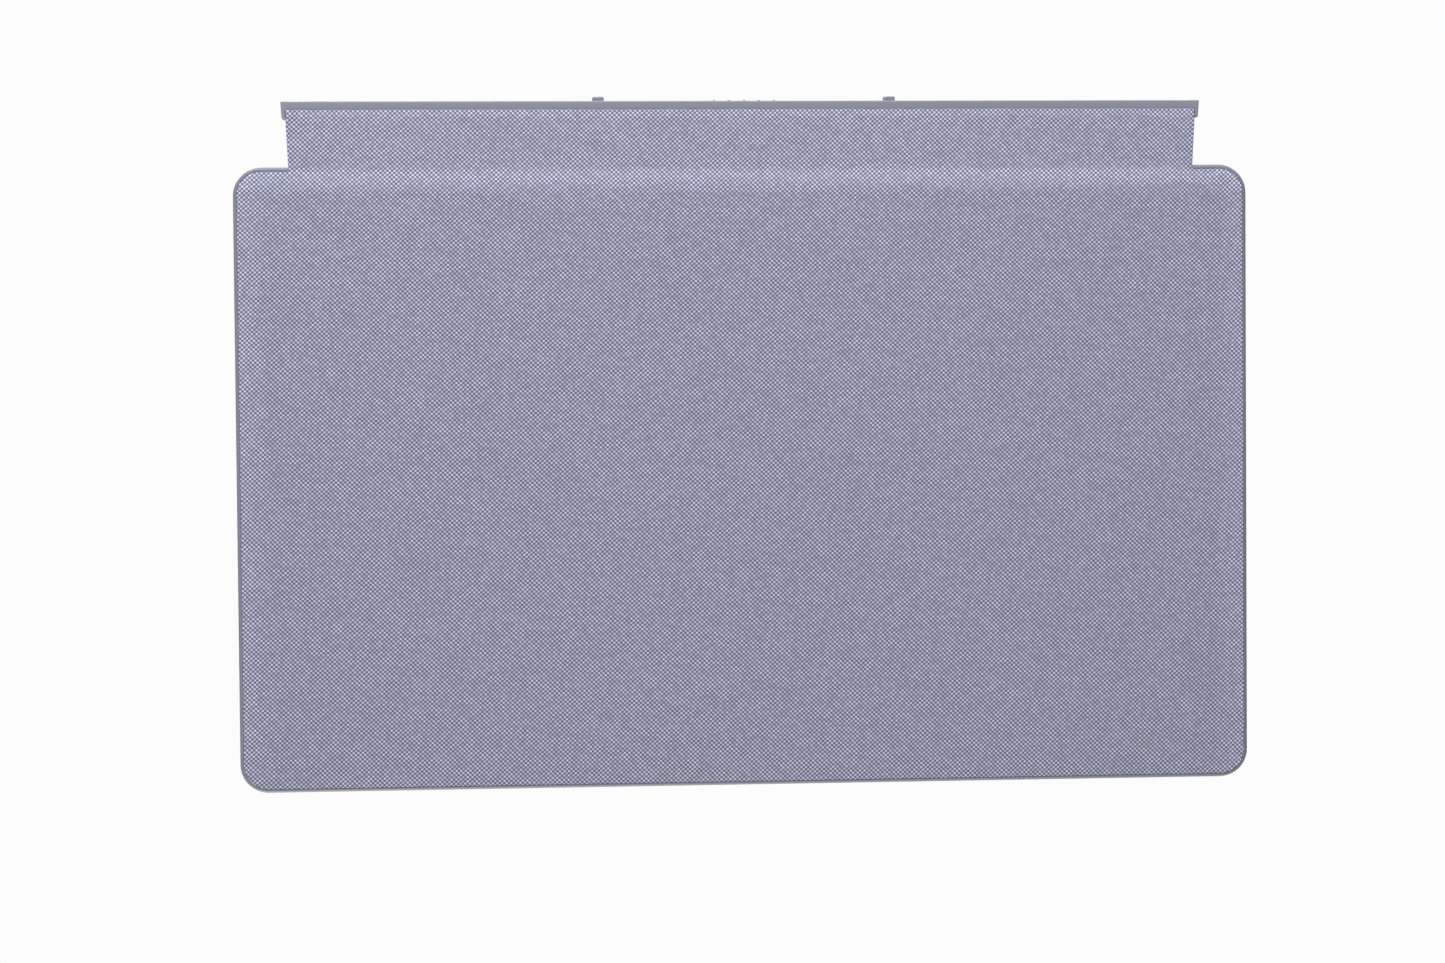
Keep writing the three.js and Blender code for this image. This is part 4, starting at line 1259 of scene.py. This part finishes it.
class COVER_OT_keys(bpy.types.Operator):
    """Make every keycap, with its legend, on the key or run of keys that it moves with"""

    bl_idname = "cover.keys"
    bl_label = "Keys"

    def execute(self, context):
        mouldings = context.scene.cover_mouldings
        caps_finish = moulded(
            "key_moulding", mouldings.key_colour,
            grain=0.16 * MM, gloss=0.46, texture_depth=0.01 * MM, wear=0.03,
        )
        print_finish = legend_print(mouldings)
        for node in KEY_NODES:
            bottom, top = low(node).z, high(node).z
            boxes = cap_boxes(node)
            legends = LEGENDS.get(node, [node[-1].upper()])
            if len(legends) != len(boxes):
                raise RuntimeError(f"{node} has {len(boxes)} caps and {len(legends)} legends")
            bm = bmesh.new()
            for box in boxes:
                add_keycap(bm, box, bottom, top, mouldings)
            if node == "keys_upper_rows":
                add_webs(bm, [boxes[:FUNCTION_ROW_CAPS], boxes[FUNCTION_ROW_CAPS:]], mouldings, bottom)
            elif len(boxes) > 1:
                add_webs(bm, [boxes], mouldings, bottom)
            for box, text in zip(boxes, legends):
                add_legend(bm, text, box, top, mouldings)
            name = node.replace("key", "cap", 1)
            piece = make_piece(name, to_mesh(name, bm), caps_finish, print_finish)
            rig.replaces(piece, node)
            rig.slot(piece, "key_plastic")
            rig.ride(piece, node)
        return {"FINISHED"}


# ------------------------------------------------------------------ docking bar


def trough_body(mouldings):
    """The solid bar, drawn in a little at both ends on the flap's side."""
    bar_low, bar_high = low("bar_shell"), high("bar_shell")
    depth = bar_high.y - bar_low.y

    def outline(inset):
        x, front, rear = bar_high.x - inset, bar_low.y + inset, bar_high.y - inset
        near = max(mouldings.bar_corner - inset, SMALLEST_RADIUS)
        far = max(mouldings.bar_dock_corner - inset, SMALLEST_RADIUS)
        side = arc(x - near, front + near, near, -90, 0, 5) + arc(x - far, rear - far, far, 0, 90, 5)
        return mirrored([(px - mouldings.bar_taper * (bar_high.y - py) / depth, py) for px, py in side])

    bm = bmesh.new()
    underside = bar_low.z + mouldings.bar_drop
    long_edges = edge_profile(underside, bar_high.z, mouldings.bar_round, mouldings.bar_round)
    add_plate(bm, [outline], long_edges)
    return to_mesh("bar_trough", bm)


def trough_cutters():
    """The bar's cavity, the recess for the cloth, and the openings for the posts and the pins."""
    bar_low, bar_high = low("bar_shell"), high("bar_shell")
    end_wall, flap_wall, dock_wall, floor_wall = 1.4 * MM, 0.8 * MM, 0.9 * MM, 0.6 * MM
    gap, clear, past = 0.1 * MM, 0.2 * MM, 2.0 * MM
    cavity_side = bar_high.x - end_wall
    cavity_rear = bar_high.y - dock_wall
    recess_top = high("bar_fabric").z + 0.05 * MM
    recess_end = high("bar_fabric").y + gap
    half_width, half_height = POST_HALF_WIDTH + gap, POST_HALF_HEIGHT + gap
    tunnel = (cavity_rear - past, bar_high.y + past)
    cutters = [
        cutter_mesh(add_block, -cavity_side, cavity_side, bar_low.y + flap_wall, cavity_rear,
                    recess_top + floor_wall, bar_high.z + past, edge=0.15 * MM),
        cutter_mesh(add_block, -cavity_side, cavity_side, bar_low.y - past, recess_end,
                    bar_low.z - past, recess_top, edge=0.05 * MM),
    ]
    for post in POST_NODES:
        cutters.append(cutter_mesh(
            add_block, middle(post) - half_width, middle(post) + half_width, *tunnel,
            CONTACT_HEIGHT - half_height, CONTACT_HEIGHT + half_height, edge=0.05 * MM,
        ))
    for pin in PIN_NODES:
        radius = (high(pin).x - low(pin).x) / 2 + clear
        cutters.append(cutter_mesh(add_rod, middle(pin), CONTACT_HEIGHT, [(y, radius) for y in tunnel]))
    return cutters


def strip_mesh():
    strip_low, strip_high, corner = low("bar_cover"), high("bar_cover"), 0.3 * MM

    def outline(inset):
        return rounded_rectangle(strip_low, strip_high, corner, inset, steps=4)

    bm = bmesh.new()
    add_plate(bm, [outline], edge_profile(strip_low.z, strip_high.z, 0.08 * MM, 0.15 * MM))
    return to_mesh("bar_strip", bm)


class COVER_OT_docking_bar(bpy.types.Operator):
    """Make the docking bar's trough and its cover strip"""

    bl_idname = "cover.docking_bar"
    bl_label = "Docking bar"

    def execute(self, context):
        mouldings = context.scene.cover_mouldings
        shell = carved(trough_body(mouldings), trough_cutters())
        material = moulded("bar_moulding", mouldings.bar_colour, grain=0.28 * MM, gloss=0.5)
        trough = make_piece("bar_trough", shell, material)
        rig.replaces(trough, "bar_shell")
        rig.slot(trough, "rim_plastic")
        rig.ride(trough, "dock_bar")

        cover = make_piece("bar_strip", strip_mesh(), material)
        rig.replaces(cover, "bar_cover")
        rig.slot(cover, "rim_plastic")
        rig.ride(cover, "dock_bar")
        return {"FINISHED"}


class COVER_OT_posts(bpy.types.Operator):
    """Make the two docking posts with their flanges"""

    bl_idname = "cover.posts"
    bl_label = "Docking posts"

    def execute(self, context):
        mouldings = context.scene.cover_mouldings
        material = cast_metal("post_casting", mouldings.post_colour, gloss=0.42, metallic=0.3)
        nose, edge, flange, overlap = 0.55 * MM, 0.3 * MM, 0.8 * MM, 0.3 * MM
        bottom, top = CONTACT_HEIGHT - POST_HALF_HEIGHT, CONTACT_HEIGHT + POST_HALF_HEIGHT
        for node in POST_NODES:
            node_low, node_high = low(node), high(node)
            flange_front = node_low.y + flange
            root = flange_front - overlap

            def outline(inset):
                x, tip, centre = POST_HALF_WIDTH - inset, node_high.y - inset, middle(node)
                right = arc(x - nose, tip - nose, nose, 0, 90, 6)
                left = arc(nose - x, tip - nose, nose, 90, 180, 6)
                return [(centre + px, py) for px, py in [(-x, root), (x, root), *right, *left]]

            bm = bmesh.new()
            add_plate(bm, [outline], edge_profile(bottom, top, edge, edge))
            add_block(bm, node_low.x, node_high.x, node_low.y, flange_front, node_low.z, node_high.z)
            name = node.replace("post", "dock_post")
            piece = make_piece(name, to_mesh(name, bm), material)
            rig.replaces(piece, node)
            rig.slot(piece, "post_metal")
            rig.ride(piece, "dock_bar")
        return {"FINISHED"}


class COVER_OT_contact_pins(bpy.types.Operator):
    """Make the five sprung contact pins and the carrier that guides them"""

    bl_idname = "cover.contact_pins"
    bl_label = "Contact pins"

    def execute(self, context):
        gold = cast_metal("pin_gilding", paint("BBAF8E"), gloss=0.3)
        chamfer, clear, past = 0.1 * MM, 0.2 * MM, 1.0 * MM
        body_low, body_high = low("pin_carrier"), high("pin_carrier")
        body = cutter_mesh(add_block, body_low.x, body_high.x, body_low.y, body_high.y,
                           body_low.z, body_high.z, edge=0.12 * MM)
        bores = []
        for node in PIN_NODES:
            node_low, node_high = low(node), high(node)
            radius = (node_high.x - node_low.x) / 2
            bore = [(body_low.y - past, radius + clear), (body_high.y + past, radius + clear)]
            bores.append(cutter_mesh(add_rod, middle(node), CONTACT_HEIGHT, bore))
            profile = [(node_low.y, radius * 0.8), (node_low.y + chamfer, radius)]
            profile += arc(node_high.y - radius, 0.0, radius, 88, 2, 8)
            bm = bmesh.new()
            add_rod(bm, middle(node), CONTACT_HEIGHT, profile)
            name = node.replace("pin", "contact_pin")
            piece = make_piece(name, to_mesh(name, bm), gold)
            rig.replaces(piece, node)
            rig.slot(piece, "pin_plating")
            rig.ride(piece, node)
        carrier = make_piece("contact_carrier", carved(body, bores), satin_resin())
        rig.replaces(carrier, "pin_carrier")
        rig.slot(carrier, "carrier_resin")
        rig.ride(carrier, "dock_bar")
        return {"FINISHED"}


# ------------------------------------------------------------------ hidden parts


class COVER_OT_inner_parts(bpy.types.Operator):
    """Finish the CAD parts inside the cover, whose shapes stay as they are"""

    bl_idname = "cover.inner_parts"
    bl_label = "Inner parts"

    def execute(self, context):
        finishes = {
            "base_stiffener": (glass_laminate(), "stiffener_laminate"),
            "key_support_plate": (rolled_steel(), "plate_steel"),
            "dome_sheet": (silicone_sheet(), "dome_rubber"),
            "controller_board": (circuit_board(), "circuit_board"),
            "flap_flex": (flex_film(), "flex_film"),
            "bar_magnets": (cast_metal("magnet_nickel", paint("BDBEC2"), gloss=0.26), "magnet_plating"),
        }
        for node, (material, slot) in finishes.items():
            part = frame["nodes"][node]
            if not part.material_slots:
                part.data.materials.append(material)
            for holder in part.material_slots:
                holder.material = material
            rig.slot(part, slot)
        return {"FINISHED"}


# ------------------------------------------------------------------ stage


def soft_light(name, place, size, power):
    """A white panel of light, turned to the middle of the cover."""
    lamp = bpy.data.lights.new(name, "AREA")
    lamp.shape = "RECTANGLE"
    lamp.size, lamp.size_y = size
    lamp.energy = power
    holder = bpy.data.objects.new(name, lamp)
    holder.location = place
    holder.rotation_euler = (-Vector(place)).to_track_quat("-Z", "Y").to_euler()
    link(holder)


def one_way_floor(tint):
    """A matt floor that shows only from above, so that the back can be seen through it.
    It glows more further out, where the lights don't reach."""
    finish = Finish("floor_paint", roughness=0.9, specular_ior_level=0.2)
    unlit_distance, glow = 1.6, 0.52
    at = finish.place()
    mottle = finish.noise(at, 60 * MM, 3.0)
    finish.covers(finish.shaded(tint, 0.98 + mottle * 0.04))
    distance = finish.node("ShaderNodeVectorMath", {"operation": "LENGTH"}, {0: at}, output=1)
    far_glow = finish.shaded(tint, distance.smooth_step(0.0, unlit_distance) * glow)
    finish.feed(finish.shader.inputs["Emission Color"], far_glow)
    finish.shader.inputs["Emission Strength"].default_value = 1.0
    away = finish.node("ShaderNodeNewGeometry", output="Backfacing")
    clear = finish.node("ShaderNodeBsdfTransparent")
    solid = Signal(finish, finish.shader.outputs["BSDF"])
    mixed = finish.node("ShaderNodeMixShader", None, {0: away, 1: solid, 2: clear})
    finish.tree.links.new(mixed.socket, finish.tree.nodes["Material Output"].inputs["Surface"])
    return finish.material


def lay_floor(tint):
    reach, drop = 3.0, 0.05 * MM
    corners = [(-reach, -reach), (reach, -reach), (reach, reach), (-reach, reach)]
    bm = bmesh.new()
    bm.faces.new(add_loop(bm, [(x, y, -drop) for x, y in corners]))
    bm.normal_update()
    mesh = bpy.data.meshes.new("floor")
    bm.to_mesh(mesh)
    bm.free()
    mesh.materials.append(one_way_floor(tint))
    floor = bpy.data.objects.new("floor", mesh)
    floor.visible_shadow = False
    floor.visible_diffuse = False
    floor.visible_glossy = False
    link(floor)
    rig.stage(floor)


def make_surroundings(ambience):
    """White where the camera sees past the floor, and a weaker cool white as a light."""
    backdrop = 0.97
    world = bpy.data.worlds.new("surroundings")
    world.use_nodes = True
    nodes, links = world.node_tree.nodes, world.node_tree.links
    seen = nodes["Background"]
    seen.inputs["Color"].default_value = (1, 1, 1, 1)
    seen.inputs["Strength"].default_value = backdrop
    lit = nodes.new("ShaderNodeBackground")
    lit.inputs["Color"].default_value = paint("F6F7FC")
    lit.inputs["Strength"].default_value = ambience
    path = nodes.new("ShaderNodeLightPath")
    choice = nodes.new("ShaderNodeMixShader")
    links.new(path.outputs["Is Camera Ray"], choice.inputs[0])
    links.new(lit.outputs[0], choice.inputs[1])
    links.new(seen.outputs[0], choice.inputs[2])
    links.new(choice.outputs[0], nodes["World Output"].inputs["Surface"])
    bpy.context.scene.world = world


def aim_camera(stage):
    """A camera that looks up at the back, with its two leans and its roll."""
    camera = bpy.data.cameras.new("camera")
    camera.sensor_width = 36.0
    camera.lens = stage.lens
    holder = bpy.data.objects.new("camera", camera)
    aim = Vector((stage.aim_x, stage.aim_y, 0))
    back = Vector((math.tan(stage.sideways), math.tan(stage.rearward), -1)).normalized()
    level = Vector((0, 1, 0)).cross(back).normalized()
    upright = back.cross(level)
    turned = upright * math.cos(stage.roll) + level * math.sin(stage.roll)
    across = turned.cross(back)
    turn = Matrix((across, turned, back)).transposed().to_4x4()
    holder.matrix_world = Matrix.Translation(aim + back * stage.distance) @ turn
    link(holder)
    bpy.context.scene.camera = holder


class COVER_OT_stage(bpy.types.Operator):
    """Make the floor, the surroundings, the lights and the camera"""

    bl_idname = "cover.stage"
    bl_label = "Stage"

    def execute(self, context):
        stage = context.scene.cover_stage
        lay_floor(stage.floor)
        make_surroundings(stage.ambience)
        soft_light("rear_light", (0.2, 1.2, -0.62), (0.9, 0.3), stage.rear_light)
        soft_light("front_light", (0.3, -1.3, -0.16), (0.9, 0.3), stage.front_light)
        soft_light("upper_light", (-0.45, -0.35, 1.15), (1.1, 1.1), stage.upper_light)
        soft_light("upper_rim_light", (0.7, 0.9, 0.9), (0.7, 0.4), stage.upper_light * 0.5)
        aim_camera(stage)
        context.scene.view_settings.view_transform = "Standard"
        return {"FINISHED"}


# ------------------------------------------------------------------ add-on

OPERATORS = (
    COVER_OT_stage, COVER_OT_flap_lining, COVER_OT_woven_back, COVER_OT_rim, COVER_OT_palm_rest,
    COVER_OT_key_surround, COVER_OT_touchpad, COVER_OT_keys, COVER_OT_docking_bar, COVER_OT_posts,
    COVER_OT_contact_pins, COVER_OT_inner_parts,
)


class COVER_PT_panel(bpy.types.Panel):
    """Sizes, colours and pieces of the keyboard cover"""

    bl_idname = "COVER_PT_panel"
    bl_label = "Keyboard cover"
    bl_space_type = "VIEW_3D"
    bl_region_type = "UI"
    bl_category = "Cover"

    def draw(self, context):
        for group in GROUPS:
            settings = getattr(context.scene, group)
            box = self.layout.box()
            for name in settings.bl_rna.properties.keys():
                if name not in ("name", "rna_type"):
                    box.prop(settings, name)
        for operator in OPERATORS:
            self.layout.operator(operator.bl_idname)


def register():
    for item in (*GROUPS.values(), *OPERATORS, COVER_PT_panel):
        bpy.utils.register_class(item)
    for name, group in GROUPS.items():
        setattr(bpy.types.Scene, name, bpy.props.PointerProperty(type=group))


def unregister():
    for name in GROUPS:
        delattr(bpy.types.Scene, name)
    for item in (COVER_PT_panel, *reversed(OPERATORS), *GROUPS.values()):
        bpy.utils.unregister_class(item)


def main():
    register()
    for operator in OPERATORS:
        group, name = operator.bl_idname.split(".")
        getattr(getattr(bpy.ops, group), name)()
    sizes = {"cad": [list(corner) for corner in CAD_BOX], "visual": [list(corner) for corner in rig.bounds()]}
    with open("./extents.json", "w") as out:
        json.dump(sizes, out, indent=1)


if __name__ == "__main__":
    main()
